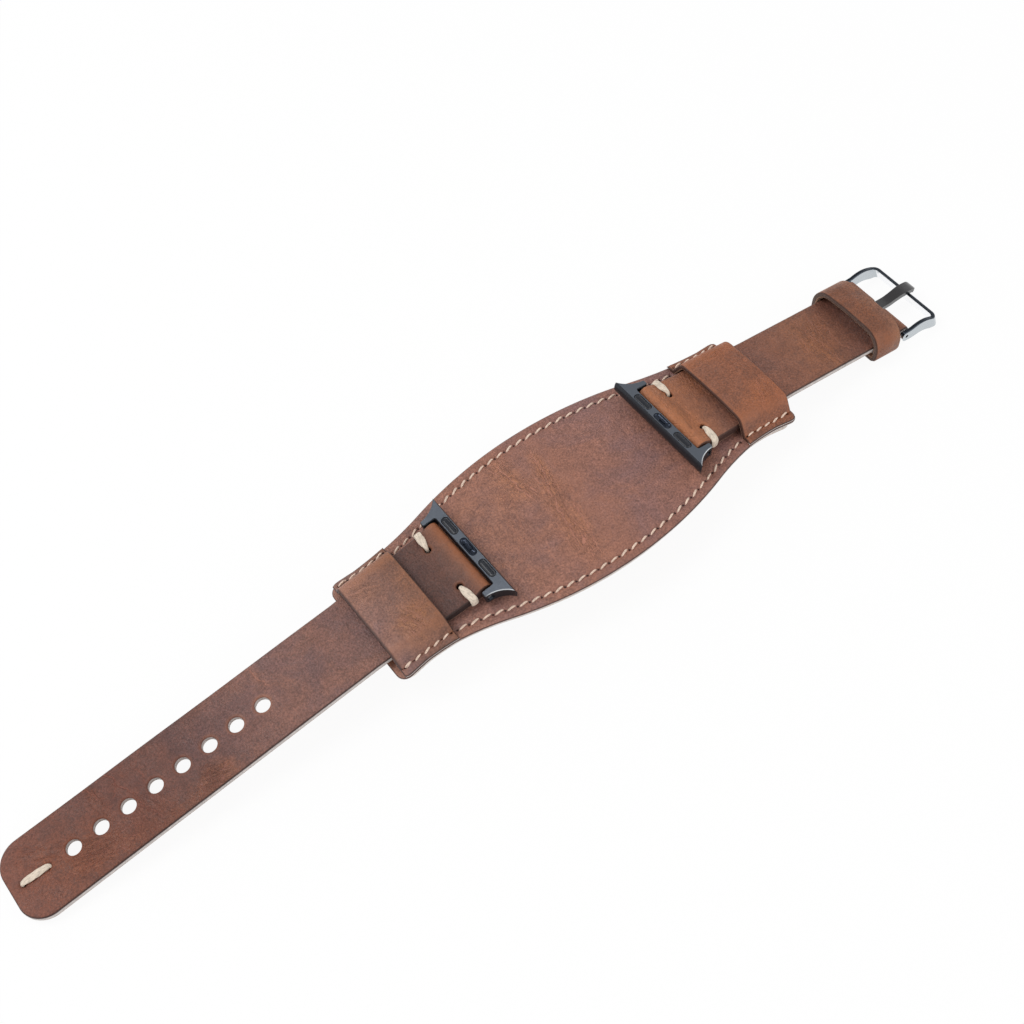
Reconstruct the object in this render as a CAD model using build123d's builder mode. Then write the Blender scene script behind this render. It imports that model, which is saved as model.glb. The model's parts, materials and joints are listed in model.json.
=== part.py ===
from build123d import *
import os
from math import asin, atan2, cos, hypot, sin, tan

# Bund watch strap lying open: an arched two-layer pad with two leather bridges, a holed tail strap and
# a buckle strap that slide through them, and a sliding case adapter hinged on the end of each strap.
# Millimetres, +X along the strap towards the buckle, +Y across it, +Z up, resting surface at z = 0.

# Pad
pad_middle_radius = 1200.0
pad_middle_reach = 24.0
pad_end_radius = 170.0
pad_length = 102.6
pad_middle_half_width = 19.7
pad_side_radius = 96.0
pad_neck_length = 18.0
pad_corner_half_width = 13.8
pad_corner_radius = 2.4
pad_top_thickness = 1.4
pad_lining_thickness = 1.2

# Bridges
bridge_length = 13.0
bridge_end_margin = 1.0
bridge_neck_shift = 1.2
bridge_leather = 1.1
bridge_side_gap = 0.25
bridge_top_gap = 0.5
bridge_crown_rise = 0.5
bridge_corner_radius = 1.7
bridge_foot_radius = 0.4

# Straps
strap_thickness = 2.2
strap_lie_gap = 0.4
strap_slot_gap = 0.4
strap_narrowing = 0.85
strap_full_length = 3.0
strap_taper_length = 26.0
fold_leather = 1.0
fold_slope_length = 3.2
fold_flap_length = 9.6
fold_flap_skive = 0.8
fold_flap_step = 0.1

# Tail strap
tail_tip_reach = 134.1
tail_tip_corner = 5.6
tail_tip_flare = 0.25
hole_count = 8
hole_pitch = 6.34
hole_last_inset = 14.22
hole_diameter = 3.3
tip_stitch_inset = 5.7
tip_stitch_length = 6.2

# Hand stitches of thick waxed thread
thread_width = 1.7
thread_thickness = 0.55
thread_clearance = 0.05
thread_bend = 0.45
side_stitch_place = 8.2
side_stitch_inset = 3.6
side_stitch_sink = 0.42
fold_stitch_place = 5.0
fold_stitch_spread = 5.0
fold_stitch_length = 3.4

# Case adapters
adapter_reach = 20.8
adapter_length = 28.6
adapter_height = 2.8
adapter_bar_width = 2.6
adapter_depth = 5.6
adapter_fishtail = 2.85
adapter_waist_inset = 0.75
adapter_arm_width = 1.35
adapter_slot_corner = 0.4
adapter_tip_flat = 0.25
adapter_nose = 0.4
adapter_bevel = 0.15
pocket_spacing = 6.5
pocket_length = 5.0
pocket_width = 1.7
pocket_inset = 1.4
pocket_depth = 1.2
insert_stand = 0.1
insert_clearance = 0.03
insert_bevel = 0.2
button_pocket_depth = 2.1
button_clearance = 0.06
button_height = 0.7
button_sink = 0.05
button_ridge_length = 1.7
button_ridge_width = 0.35
button_ridge_height = 0.12
spring_radius = 0.45

# Lug bars, screwed into the adapters' arms
lug_bar_diameter = 1.1
lug_bar_place = 4.5
lug_bar_end_inset = 0.35
lug_head_diameter = 1.6
lug_head_length = 0.6
lug_slot_width = 0.3
lug_slot_depth = 0.3
seat_clearance = 0.02
running_clearance = 0.05

# Keeper loop
keeper_inset = 5.9
keeper_width = 7.2
keeper_leather = 1.25
keeper_side_gap = 0.35
keeper_under_gap = 0.3
keeper_room = 2.2
keeper_crown_rise = 0.6
keeper_corner_radius = 3.2
keeper_under_corner = 0.3

# Buckle
buckle_bar_place = 86.2
buckle_length = 9.4
buckle_side_room = 1.25
buckle_wall = 0.95
buckle_height = 3.0
buckle_front_slant = 1.3
buckle_corner_radius = 1.8
buckle_end_radius = 1.3
buckle_front_drop = 0.35
buckle_end_blend = 3.0
buckle_bevel = 0.18
spring_tube_diameter = 1.2
spring_tube_wall = 0.2
spring_tube_end_gap = 0.15
spring_tip_diameter = 0.7
spring_tip_stem = 2.4
spring_tip_reach = 0.75
spring_tip_travel = 0.7
tongue_width = 2.4
tongue_hook_width = 2.7
tongue_loop_wall = 0.65
tongue_thickness = 1.1
tongue_rest_gap = 0.05
tongue_overhang = 1.1
tongue_droop = 0.35
tongue_lift = 0.1
tongue_slot_side_gap = 0.4
tongue_slot_length = 5.6

# One overrun for every cut
cut_overrun = 1.0

# Sizes worked out from the ones above
adapter_back_half_width = adapter_length / 2 - adapter_fishtail
adapter_slot_half_width = adapter_back_half_width - adapter_arm_width
strap_fold_half_width = adapter_slot_half_width - strap_slot_gap
strap_slim_half_width = strap_fold_half_width - strap_narrowing
tail_tip_half_width = strap_slim_half_width + tail_tip_flare
buckle_half_width = strap_slim_half_width + buckle_side_room
pad_half_length = pad_length / 2
bridge_middle_place = pad_half_length - bridge_end_margin - bridge_length / 2
pad_neck_place = bridge_middle_place + bridge_neck_shift
pad_turn_place = pad_neck_place - pad_neck_length
pad_thickness = pad_top_thickness + pad_lining_thickness
strap_top = strap_lie_gap + strap_thickness
lug_bore_radius = lug_bar_diameter / 2 + running_clearance
fold_radius = lug_bore_radius + fold_leather
fold_bottom = strap_lie_gap - fold_flap_step
fold_axis_height = fold_bottom + fold_radius
fold_top = fold_axis_height + fold_radius
adapter_front = -adapter_reach
lug_axis = adapter_front + lug_bar_place
buckle_axis = buckle_bar_place - bridge_middle_place
buckle_front = buckle_axis + buckle_length
buckle_top = fold_axis_height + buckle_height / 2 - buckle_front_drop
buckle_bottom = buckle_top - buckle_height
tail_end = tail_tip_reach - bridge_middle_place
turn_angle = pad_middle_reach / pad_middle_radius
end_arc_along = (pad_middle_radius - pad_end_radius) * sin(turn_angle)
end_arc_depth = pad_middle_radius - (pad_middle_radius - pad_end_radius) * cos(turn_angle)
bridge_angle = turn_angle + (bridge_middle_place - pad_middle_reach) / pad_end_radius
bridge_drop = end_arc_depth - pad_end_radius * cos(bridge_angle)
bridge_reach = end_arc_along + pad_end_radius * sin(bridge_angle)


def arch_point(side, along, up):
    """Place beside the upright arch, from its top: along and up are measured in a strap's own frame."""
    x = bridge_reach + along * cos(bridge_angle) + up * sin(bridge_angle)
    z = up * cos(bridge_angle) - bridge_drop - along * sin(bridge_angle)
    return side * x, z


# The strap rests on the tail's tip and on the buckle's front edge: the arch leans until both are level
tail_rest = arch_point(-1, tail_end, strap_lie_gap)
buckle_rest = arch_point(1, buckle_front + buckle_front_slant, buckle_bottom)
lean = atan2(tail_rest[1] - buckle_rest[1], buckle_rest[0] - tail_rest[0])
slopes = {-1: bridge_angle + lean, 1: bridge_angle - lean}


def leaned(point):
    """A place beside the upright arch, turned by the lean."""
    x, z = point
    return x * cos(lean) - z * sin(lean), x * sin(lean) + z * cos(lean)


# The origin lies on the resting surface, under the middle of the whole length
tail_end_x = leaned(arch_point(-1, tail_end, strap_top))[0]
buckle_end_x = leaned(buckle_rest)[0]
pad_middle_x = -(tail_end_x + buckle_end_x) / 2
pad_middle_z = -leaned(tail_rest)[1]


def lie_plane(side, along=0.0, up=0.0):
    """Plane on the pad's top at a bridge's middle: x outward along the strap, z square to the strap."""
    slope = slopes[side]
    x, z = leaned(arch_point(side, 0, 0))
    outward = Vector(side * cos(slope), 0, -sin(slope))
    upward = Vector(side * sin(slope), 0, cos(slope))
    origin = Vector(pad_middle_x + x, 0, pad_middle_z + z) + outward * along + upward * up
    return Plane(origin=origin, x_dir=outward, z_dir=upward)


def side_plane(side):
    """Plane of a strap's side view: x outward along it, y up from the pad's top."""
    base = lie_plane(side)
    return Plane(origin=base.origin, x_dir=base.x_dir, z_dir=base.y_dir * -1)


def cross_plane(side, along):
    """Plane square to a strap, looking outward along it: x across, y up from the pad's top."""
    base = lie_plane(side, along)
    return Plane(origin=base.origin, x_dir=base.y_dir, z_dir=base.x_dir)


def across_plane(side, along, up, across):
    """Plane square to a bar that lies across a strap, at a distance across from its middle."""
    base = lie_plane(side, along, up)
    return Plane(origin=base.origin + base.y_dir * across, x_dir=base.x_dir, z_dir=base.y_dir)


pad_plane = Plane(origin=(pad_middle_x, 0, pad_middle_z), x_dir=(cos(lean), 0, sin(lean)),
                  z_dir=(-sin(lean), 0, cos(lean)))
pad_side = Plane(origin=pad_plane.origin, x_dir=pad_plane.x_dir, z_dir=pad_plane.y_dir * -1)
os.makedirs("parts", exist_ok=True)


def keep(piece, label):
    """Name a finished piece and write it."""
    piece.part.label = label
    export_step(piece.part, "parts/" + label + ".step")


def arch_band(low, high):
    """Side view of a layer of the arch, from depth low up to depth high under the pad's top."""
    reach = asin((pad_half_length + cut_overrun - end_arc_along) / pad_end_radius)

    def on_arch(depth, angle):
        """A place at a depth, where the arch has turned by an angle."""
        if abs(angle) > turn_angle:
            way = angle / abs(angle)
            radius = pad_end_radius - depth
            return way * end_arc_along + radius * sin(angle), radius * cos(angle) - end_arc_depth
        radius = pad_middle_radius - depth
        return radius * sin(angle), radius * cos(angle) - pad_middle_radius

    def run_of_arcs(depth, way):
        """The arch's line at a depth, from one end to the other."""
        bend = (reach + turn_angle) / 2
        ends = [way * angle for angle in (-reach, -bend, -turn_angle, 0, turn_angle, bend, reach)]
        for first in range(0, len(ends) - 1, 2):
            ThreePointArc(*[on_arch(depth, angle) for angle in ends[first:first + 3]])

    with BuildSketch(pad_side, mode=Mode.PRIVATE) as band:
        with BuildLine():
            run_of_arcs(high, 1)
            Line(on_arch(high, reach), on_arch(low, reach))
            run_of_arcs(low, -1)
            Line(on_arch(low, -reach), on_arch(high, -reach))
        make_face()
    return band.sketch


def pad_outline():
    """Plan of the pad: full in the middle, drawn in beside each bridge, with rounded corners."""
    turn = asin(pad_turn_place / pad_side_radius)
    turn_half = pad_middle_half_width - pad_side_radius * (1 - cos(turn))
    neck_half = turn_half - (pad_neck_place - pad_turn_place) * tan(turn / 2)
    corner = (pad_half_length, pad_corner_half_width)
    with BuildSketch(pad_plane, mode=Mode.PRIVATE) as outline:
        with BuildLine():
            crown_middle = (pad_side_radius * sin(turn / 2),
                            pad_middle_half_width - pad_side_radius * (1 - cos(turn / 2)))
            crown = ThreePointArc((0, pad_middle_half_width), crown_middle, (pad_turn_place, turn_half))
            neck = TangentArc(crown @ 1, (pad_neck_place, neck_half), tangent=crown % 1)
            Line(neck @ 1, corner)
            mirror(about=Plane.XZ)
            Line(corner, (corner[0], -corner[1]))
            mirror(about=Plane.YZ)
        make_face()
        ends = outline.vertices().group_by(Axis.X)
        fillet(ends[0] + ends[-1], pad_corner_radius)
    return outline.sketch


# Pad, two layers of leather glued together and sewn along the long sides
pad_plan = pad_outline()
for label, low, high in (("pad_top_leather", pad_top_thickness, 0.0),
                         ("pad_lining", pad_thickness, pad_top_thickness)):
    with BuildPart() as pad_layer:
        extrude(arch_band(low, high), amount=pad_middle_half_width + cut_overrun, both=True)
        extrude(pad_plan, amount=pad_half_length, both=True, mode=Mode.INTERSECT)
    keep(pad_layer, label)


def arched_face(half, base, height, rise, corner):
    """Section with a flat base, straight sides, two round shoulders and a low crown."""
    with BuildSketch(mode=Mode.PRIVATE) as section:
        with BuildLine():
            ThreePointArc((-half, height), (0, height + rise), (half, height))
            Polyline((half, height), (half, base), (-half, base), (-half, height))
        make_face()
        fillet(section.vertices().group_by(Axis.Y)[-1], corner)
    return section.sketch_local


# Bridges, each a band of leather arched over a strap with its feet sewn to the pad
bridge_half = strap_fold_half_width + bridge_side_gap
bridge_height = strap_top + bridge_top_gap
bridge_foot = -pad_top_thickness / 2
for side, label in ((-1, "tail_bridge"), (1, "buckle_bridge")):
    with BuildPart() as bridge:
        with BuildSketch(cross_plane(side, 0)) as section:
            add(arched_face(bridge_half + bridge_leather, bridge_foot, bridge_height + bridge_leather,
                            bridge_crown_rise, bridge_corner_radius + bridge_leather))
            with Locations((0, bridge_foot)):
                Rectangle(2 * pad_middle_half_width, bridge_leather - bridge_foot,
                          align=(Align.CENTER, Align.MIN))
            creases = section.vertices().group_by(Axis.Y)[1].sort_by(lambda corner: abs(corner.X))
            fillet(creases[:2], bridge_foot_radius)
            add(arched_face(bridge_half, bridge_foot, bridge_height, bridge_crown_rise,
                            bridge_corner_radius), mode=Mode.SUBTRACT)
        extrude(amount=bridge_length / 2, both=True)
        extrude(arch_band(pad_thickness, 0.0), amount=pad_middle_half_width + cut_overrun, both=True,
                mode=Mode.SUBTRACT)
        extrude(pad_plan, amount=pad_half_length, both=True, mode=Mode.INTERSECT)
    keep(bridge, label)


def strap_side_view(side, end, bar_at_end):
    """Side view of a strap: folded round the adapter's bar, and at the end cut off or folded again."""
    flap_end = lug_axis + fold_flap_length
    with BuildSketch(side_plane(side), mode=Mode.PRIVATE) as view:
        with BuildLine():
            near_fold = ThreePointArc((lug_axis, fold_bottom), (lug_axis - fold_radius, fold_axis_height),
                                      (lug_axis, fold_top))
            slope = Spline(near_fold @ 1, (lug_axis + fold_slope_length, strap_top),
                           tangents=[(1, 0), (1, 0)])
            skive = Polyline(near_fold @ 0, (flap_end - fold_flap_skive, fold_bottom),
                             (flap_end, strap_lie_gap))
            if bar_at_end:
                far_fold = ThreePointArc((end, fold_top), (end + fold_radius, fold_axis_height),
                                         (end, fold_bottom))
                rise = Spline((end - fold_slope_length, strap_top), far_fold @ 0,
                              tangents=[(1, 0), (1, 0)])
                Line(slope @ 1, rise @ 0)
                Polyline(far_fold @ 1, (end - fold_flap_length + fold_flap_skive, fold_bottom),
                         (end - fold_flap_length, strap_lie_gap), skive @ 1)
            else:
                Polyline(slope @ 1, (end, strap_top), (end, strap_lie_gap), skive @ 1)
        make_face()
    return view.sketch


def strap_plan(side, end, end_half, end_corner):
    """Plan of a strap: full width at the adapter, tapered to its slim width, and its end."""
    start = lug_axis - fold_radius - cut_overrun
    with BuildSketch(lie_plane(side), mode=Mode.PRIVATE) as plan:
        with BuildLine():
            Polyline((start, 0), (start, strap_fold_half_width),
                     (lug_axis + strap_full_length, strap_fold_half_width),
                     (lug_axis + strap_taper_length, strap_slim_half_width), (end, end_half), (end, 0))
            mirror(about=Plane.XZ)
        make_face()
        if end_corner:
            tips = plan.vertices().group_by(Axis.X)[-1].sort_by(lambda tip: abs(tip.Y))
            fillet(tips[-2:], end_corner)
    return plan.sketch


def stitch_loop(plane, start, stop, low, high):
    """Loop of thick thread in a plane, round the leather between start and stop and low and high."""
    reach = thread_clearance + thread_thickness
    with BuildSketch(plane, mode=Mode.PRIVATE) as loop:
        with Locations(((start + stop) / 2, (low + high) / 2)):
            Rectangle(stop - start + 2 * reach, high - low + 2 * reach)
            chamfer(loop.vertices(), thread_bend)
            Rectangle(stop - start + 2 * thread_clearance, high - low + 2 * thread_clearance,
                      mode=Mode.SUBTRACT)
    extrude(loop.sketch, amount=thread_width / 2, both=True)


def awl_hole(plane, along, across, length, width):
    """Slot through a strap for a leg of thread, seen in plan."""
    with BuildSketch(plane, mode=Mode.PRIVATE) as hole:
        with Locations((along, across)):
            Rectangle(length, width)
    return hole.sketch


leg = thread_thickness + 2 * thread_clearance
slot_width = thread_width + 2 * thread_clearance
side_stitch_along = adapter_front + side_stitch_place
side_stitch_inner = strap_fold_half_width - side_stitch_inset
side_stitch_low = fold_bottom + side_stitch_sink
tip_stitch_along = tail_end - tip_stitch_inset
end_stitch_along = buckle_axis - fold_stitch_place


def side_stitches(side):
    """The two thick stitches that hold the fold, each round one edge of the strap."""
    base = lie_plane(side, side_stitch_along)
    for way in (-1, 1):
        plane = Plane(origin=base.origin, x_dir=base.y_dir * way, z_dir=base.x_dir * way)
        stitch_loop(plane, side_stitch_inner, strap_fold_half_width, side_stitch_low, strap_top)


def cut_side_stitches(side):
    """Holes and sunk grooves for the side stitches, cut from the strap that is being made."""
    plane = lie_plane(side)
    reach = thread_clearance + thread_thickness
    for way in (-1, 1):
        hole_middle = way * (side_stitch_inner - reach / 2)
        extrude(awl_hole(plane, side_stitch_along, hole_middle, slot_width, leg),
                amount=fold_top + cut_overrun, both=True, mode=Mode.SUBTRACT)
        groove_middle = way * (side_stitch_inner + strap_fold_half_width) / 2
        extrude(awl_hole(plane, side_stitch_along, groove_middle, slot_width,
                         side_stitch_inset + cut_overrun),
                amount=side_stitch_low, mode=Mode.SUBTRACT)


def long_stitch(side, along, across, length, low, high):
    """One thick stitch that runs along the strap through two holes."""
    base = lie_plane(side)
    plane = Plane(origin=base.origin + base.y_dir * across, x_dir=base.x_dir, z_dir=base.y_dir * -1)
    stitch_loop(plane, along - length / 2, along + length / 2, low, high)


def cut_long_stitch(side, along, across, length, low):
    """Holes and a sunk groove for a stitch along the strap, cut from the strap that is being made."""
    plane = lie_plane(side)
    reach = thread_clearance + thread_thickness
    for way in (-1, 1):
        hole_middle = along + way * (length + reach) / 2
        extrude(awl_hole(plane, hole_middle, across, leg, slot_width),
                amount=fold_top + cut_overrun, both=True, mode=Mode.SUBTRACT)
    extrude(awl_hole(plane, along, across, length + 2 * reach + 2 * thread_clearance, slot_width),
            amount=low, mode=Mode.SUBTRACT)


def cut_bar_bore(side, along, radius):
    """Bore across the strap for the bar that its fold goes round."""
    with BuildSketch(side_plane(side), mode=Mode.PRIVATE) as bore:
        with Locations((along, fold_axis_height)):
            Circle(radius)
    extrude(bore.sketch, amount=strap_fold_half_width + cut_overrun, both=True, mode=Mode.SUBTRACT)


# Tail strap, with its row of holes
thread_low_sink = thread_thickness + thread_clearance
tip_stitch_low = strap_lie_gap + thread_low_sink
with BuildPart() as tail_strap:
    extrude(strap_side_view(-1, tail_end, False), amount=strap_fold_half_width + cut_overrun, both=True)
    extrude(strap_plan(-1, tail_end, tail_tip_half_width, tail_tip_corner),
            amount=fold_top + cut_overrun, both=True, mode=Mode.INTERSECT)
    cut_bar_bore(-1, lug_axis, lug_bore_radius)
    cut_side_stitches(-1)
    cut_long_stitch(-1, tip_stitch_along, 0, tip_stitch_length, tip_stitch_low)
    row_middle = tail_end - hole_last_inset - (hole_count - 1) * hole_pitch / 2
    with BuildSketch(lie_plane(-1)):
        with Locations((row_middle, 0)):
            with GridLocations(hole_pitch, 0, hole_count, 1):
                Circle(hole_diameter / 2)
    extrude(amount=fold_top + cut_overrun, both=True, mode=Mode.SUBTRACT)
keep(tail_strap, "tail_strap")

with BuildPart() as tail_side_stitches:
    side_stitches(-1)
keep(tail_side_stitches, "tail_side_stitches")

with BuildPart() as tail_tip_stitch:
    long_stitch(-1, tip_stitch_along, 0, tip_stitch_length, tip_stitch_low, strap_top)
keep(tail_tip_stitch, "tail_tip_stitch")

# Buckle strap, folded at both ends, with a slot for the buckle's tongue
buckle_bore_radius = spring_tube_diameter / 2 + running_clearance
end_stitch_low = fold_bottom + thread_low_sink
tongue_slot_half = tongue_width / 2 + tongue_slot_side_gap
with BuildPart() as buckle_strap:
    extrude(strap_side_view(1, buckle_axis, True), amount=strap_fold_half_width + cut_overrun, both=True)
    extrude(strap_plan(1, buckle_axis + fold_radius + cut_overrun, strap_slim_half_width, 0),
            amount=fold_top + cut_overrun, both=True, mode=Mode.INTERSECT)
    cut_bar_bore(1, lug_axis, lug_bore_radius)
    cut_bar_bore(1, buckle_axis, buckle_bore_radius)
    cut_side_stitches(1)
    for way in (-1, 1):
        cut_long_stitch(1, end_stitch_along, way * fold_stitch_spread, fold_stitch_length, end_stitch_low)
    slot_end = buckle_axis + fold_radius
    with BuildSketch(lie_plane(1)):
        with Locations((slot_end - tongue_slot_length, 0)):
            Rectangle(tongue_slot_length + cut_overrun, 2 * tongue_slot_half,
                      align=(Align.MIN, Align.CENTER))
            Circle(tongue_slot_half)
    extrude(amount=fold_top + cut_overrun, both=True, mode=Mode.SUBTRACT)
keep(buckle_strap, "buckle_strap")

with BuildPart() as buckle_side_stitches:
    side_stitches(1)
keep(buckle_side_stitches, "buckle_side_stitches")

with BuildPart() as buckle_fold_stitches:
    for way in (-1, 1):
        long_stitch(1, end_stitch_along, way * fold_stitch_spread, fold_stitch_length,
                    end_stitch_low, strap_top)
keep(buckle_fold_stitches, "buckle_fold_stitches")


def adapter_plan():
    """Plan of an adapter: straight front edge, fishtail ends, and a slot for the strap's fold."""
    half = adapter_length / 2
    tip = (adapter_tip_flat, half)
    back = (adapter_depth, adapter_back_half_width)
    run = (back[0] - tip[0], back[1] - tip[1])
    inset_share = adapter_waist_inset / hypot(run[0], run[1])
    waist = (tip[0] + run[0] / 2 + run[1] * inset_share, tip[1] + run[1] / 2 - run[0] * inset_share)
    with BuildSketch(mode=Mode.PRIVATE) as plan:
        with BuildLine():
            Polyline((0, 0), (0, half), tip)
            ThreePointArc(tip, waist, back)
            Polyline(back, (adapter_depth, adapter_slot_half_width),
                     (adapter_bar_width, adapter_slot_half_width), (adapter_bar_width, 0))
            mirror(about=Plane.XZ)
        make_face()
        rear = plan.vertices().group_by(Axis.X)[-1]
        inner = plan.vertices().filter_by_position(Axis.X, adapter_bar_width - adapter_tip_flat,
                                                   adapter_bar_width + adapter_tip_flat)
        slot_corners = inner.sort_by(lambda corner: abs(corner.Y))[-2:]
        fillet(rear + slot_corners, adapter_slot_corner)
    return plan.sketch_local


def pocket_face(places, clearance):
    """Oval outlines in an adapter's bar, at the given places across it."""
    with BuildSketch(mode=Mode.PRIVATE) as ovals:
        with Locations(*[(pocket_inset, place) for place in places]):
            SlotOverall(pocket_length - 2 * clearance, pocket_width - 2 * clearance, rotation=90)
    return ovals.sketch_local


adapter_top = fold_axis_height + adapter_height / 2
arm_half = adapter_back_half_width - lug_bar_end_inset
head_start = arm_half - lug_head_length
for side, name in ((-1, "tail"), (1, "buckle")):
    top_plane = lie_plane(side, adapter_front, adapter_top)
    middle_plane = lie_plane(side, adapter_front, fold_axis_height)

    # Adapter body: a bar with a round nose, two arms, pockets on top and bores for the lug bar
    with BuildPart() as adapter:
        with BuildSketch(middle_plane):
            add(adapter_plan())
        extrude(amount=adapter_height / 2, both=True)
        with BuildSketch(side_plane(side)):
            high = adapter_top
            low = adapter_top - adapter_height
            with BuildLine():
                ThreePointArc((adapter_front + adapter_nose, low), (adapter_front, fold_axis_height),
                              (adapter_front + adapter_nose, high))
                Polyline((adapter_front + adapter_nose, high), (lug_axis + adapter_depth, high),
                         (lug_axis + adapter_depth, low), (adapter_front + adapter_nose, low))
            make_face()
        extrude(amount=adapter_length, both=True, mode=Mode.INTERSECT)
        with BuildSketch(top_plane):
            add(pocket_face((-pocket_spacing, pocket_spacing), 0.0))
        extrude(amount=-pocket_depth, mode=Mode.SUBTRACT)
        with BuildSketch(top_plane):
            add(pocket_face((0.0,), 0.0))
        extrude(amount=-button_pocket_depth, mode=Mode.SUBTRACT)
        with BuildSketch(side_plane(side)):
            with Locations((lug_axis, fold_axis_height)):
                Circle(lug_bar_diameter / 2 + seat_clearance)
        extrude(amount=adapter_length, both=True, mode=Mode.SUBTRACT)
        with BuildSketch(across_plane(side, lug_axis, fold_axis_height, head_start - seat_clearance)):
            Circle(lug_head_diameter / 2 + seat_clearance)
        extrude(amount=adapter_length, mode=Mode.SUBTRACT)
        ends = adapter.edges().filter_by(GeomType.CIRCLE).filter_by(
            lambda edge: abs(edge.center().Y) > adapter_back_half_width and edge.length > adapter_depth)
        chamfer(ends, adapter_bevel)
    keep(adapter, name + "_adapter_body")

    # Rubber inserts, proud of the bar, that grip the watch case
    with BuildPart() as inserts:
        with BuildSketch(top_plane.offset(seat_clearance - pocket_depth)):
            add(pocket_face((-pocket_spacing, pocket_spacing), insert_clearance))
        extrude(amount=pocket_depth - seat_clearance + insert_stand)
        crowns = inserts.faces().sort_by(Axis(top_plane.origin, top_plane.z_dir))[-2:]
        chamfer(crowns.edges(), insert_bevel)
    keep(inserts, name + "_adapter_inserts")

    # Lock button, an oval key with a thin ridge, pressed down into its pocket to free the adapter
    button_plane = top_plane.offset(-button_sink)
    with BuildPart() as button:
        with BuildSketch(button_plane):
            add(pocket_face((0.0,), button_clearance))
        extrude(amount=-button_height)
        with BuildSketch(button_plane):
            with Locations((pocket_inset, 0)):
                SlotOverall(button_ridge_length, button_ridge_width, rotation=90)
        extrude(amount=button_ridge_height)
    keep(button, name + "_lock_button")

    # Spring under the button, drawn as the cylinder that its turns fill
    spring_height = button_pocket_depth - button_sink - button_height
    with BuildPart() as button_spring:
        with BuildSketch(top_plane.offset(-button_pocket_depth)):
            with Locations((pocket_inset, 0)):
                Circle(spring_radius)
        extrude(amount=spring_height)
    keep(button_spring, name + "_button_spring")

    # Lug bar, a pin through both arms with a slotted head let into one of them
    with BuildPart() as lug_bar:
        with BuildSketch(across_plane(side, lug_axis, fold_axis_height, -arm_half)):
            Circle(lug_bar_diameter / 2)
        extrude(amount=arm_half + head_start)
        head_plane = across_plane(side, lug_axis, fold_axis_height, head_start)
        with BuildSketch(head_plane):
            Circle(lug_head_diameter / 2)
        extrude(amount=lug_head_length)
        with BuildSketch(head_plane.offset(lug_head_length)):
            Rectangle(lug_head_diameter + cut_overrun, lug_slot_width)
        extrude(amount=-lug_slot_depth, mode=Mode.SUBTRACT)
    keep(lug_bar, name + "_lug_bar")

# Keeper loop, a closed band of leather that slides along the buckle strap
keeper_half = strap_slim_half_width + keeper_side_gap
keeper_base = fold_bottom - keeper_under_gap
keeper_height = strap_top + keeper_room
with BuildPart() as keeper_loop:
    with BuildSketch(cross_plane(1, buckle_axis - keeper_inset)) as band:
        add(arched_face(keeper_half + keeper_leather, keeper_base - keeper_leather,
                        keeper_height + keeper_leather, keeper_crown_rise,
                        keeper_corner_radius + keeper_leather))
        fillet(band.vertices().group_by(Axis.Y)[0], keeper_under_corner + keeper_leather)
        add(arched_face(keeper_half, keeper_base, keeper_height, keeper_crown_rise,
                        keeper_corner_radius), mode=Mode.SUBTRACT)
    extrude(amount=keeper_width / 2, both=True)
keep(keeper_loop, "keeper_loop")

# Buckle frame: a deep polished band bent round three sides, with its front wall slanted forward
with BuildPart() as buckle_frame:
    with BuildSketch(lie_plane(1, 0, buckle_top)):
        depth = buckle_front - buckle_axis + buckle_end_radius + cut_overrun
        for half, wall, corner, mode in (
                (buckle_half_width, 0.0, buckle_corner_radius, Mode.ADD),
                (buckle_half_width - buckle_wall, buckle_wall, buckle_corner_radius - buckle_wall,
                 Mode.SUBTRACT)):
            with BuildSketch(mode=Mode.PRIVATE) as outline:
                with Locations((buckle_front - wall, 0)):
                    Rectangle(depth, 2 * half, align=(Align.MAX, Align.CENTER))
                fillet(outline.vertices().group_by(Axis.X)[-1], corner)
            add(outline.sketch_local, mode=mode)
    lie = lie_plane(1)
    slant_way = lie.x_dir * buckle_front_slant - lie.z_dir * buckle_height
    extrude(amount=hypot(buckle_front_slant, buckle_height), dir=slant_way)
    with BuildSketch(side_plane(1)):
        front = buckle_front + buckle_front_slant + cut_overrun
        with BuildLine():
            rear = ThreePointArc((buckle_axis, fold_axis_height - buckle_end_radius),
                                 (buckle_axis - buckle_end_radius, fold_axis_height),
                                 (buckle_axis, fold_axis_height + buckle_end_radius))
            Spline(rear @ 1, (buckle_axis + buckle_end_blend, buckle_top), tangents=[(1, 0), (1, 0)])
            Polyline((buckle_axis + buckle_end_blend, buckle_top), (front, buckle_top),
                     (front, buckle_bottom), (buckle_axis + buckle_end_blend, buckle_bottom))
            Spline((buckle_axis + buckle_end_blend, buckle_bottom), rear @ 0,
                   tangents=[(-1, 0), (-1, 0)])
        make_face()
    extrude(amount=buckle_half_width + cut_overrun, both=True, mode=Mode.INTERSECT)
    with BuildSketch(side_plane(1)):
        with Locations((buckle_axis, fold_axis_height)):
            Circle(spring_tip_diameter / 2 + running_clearance)
    extrude(amount=buckle_half_width + cut_overrun, both=True, mode=Mode.SUBTRACT)
    rim = buckle_frame.faces().sort_by(Axis(lie.origin, lie.z_dir))[-1]
    rim_ends = rim.edges().group_by(Axis(lie.origin, lie.x_dir))[0]
    chamfer(rim.edges() - rim_ends, buckle_bevel)
keep(buckle_frame, "buckle_frame")

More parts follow.
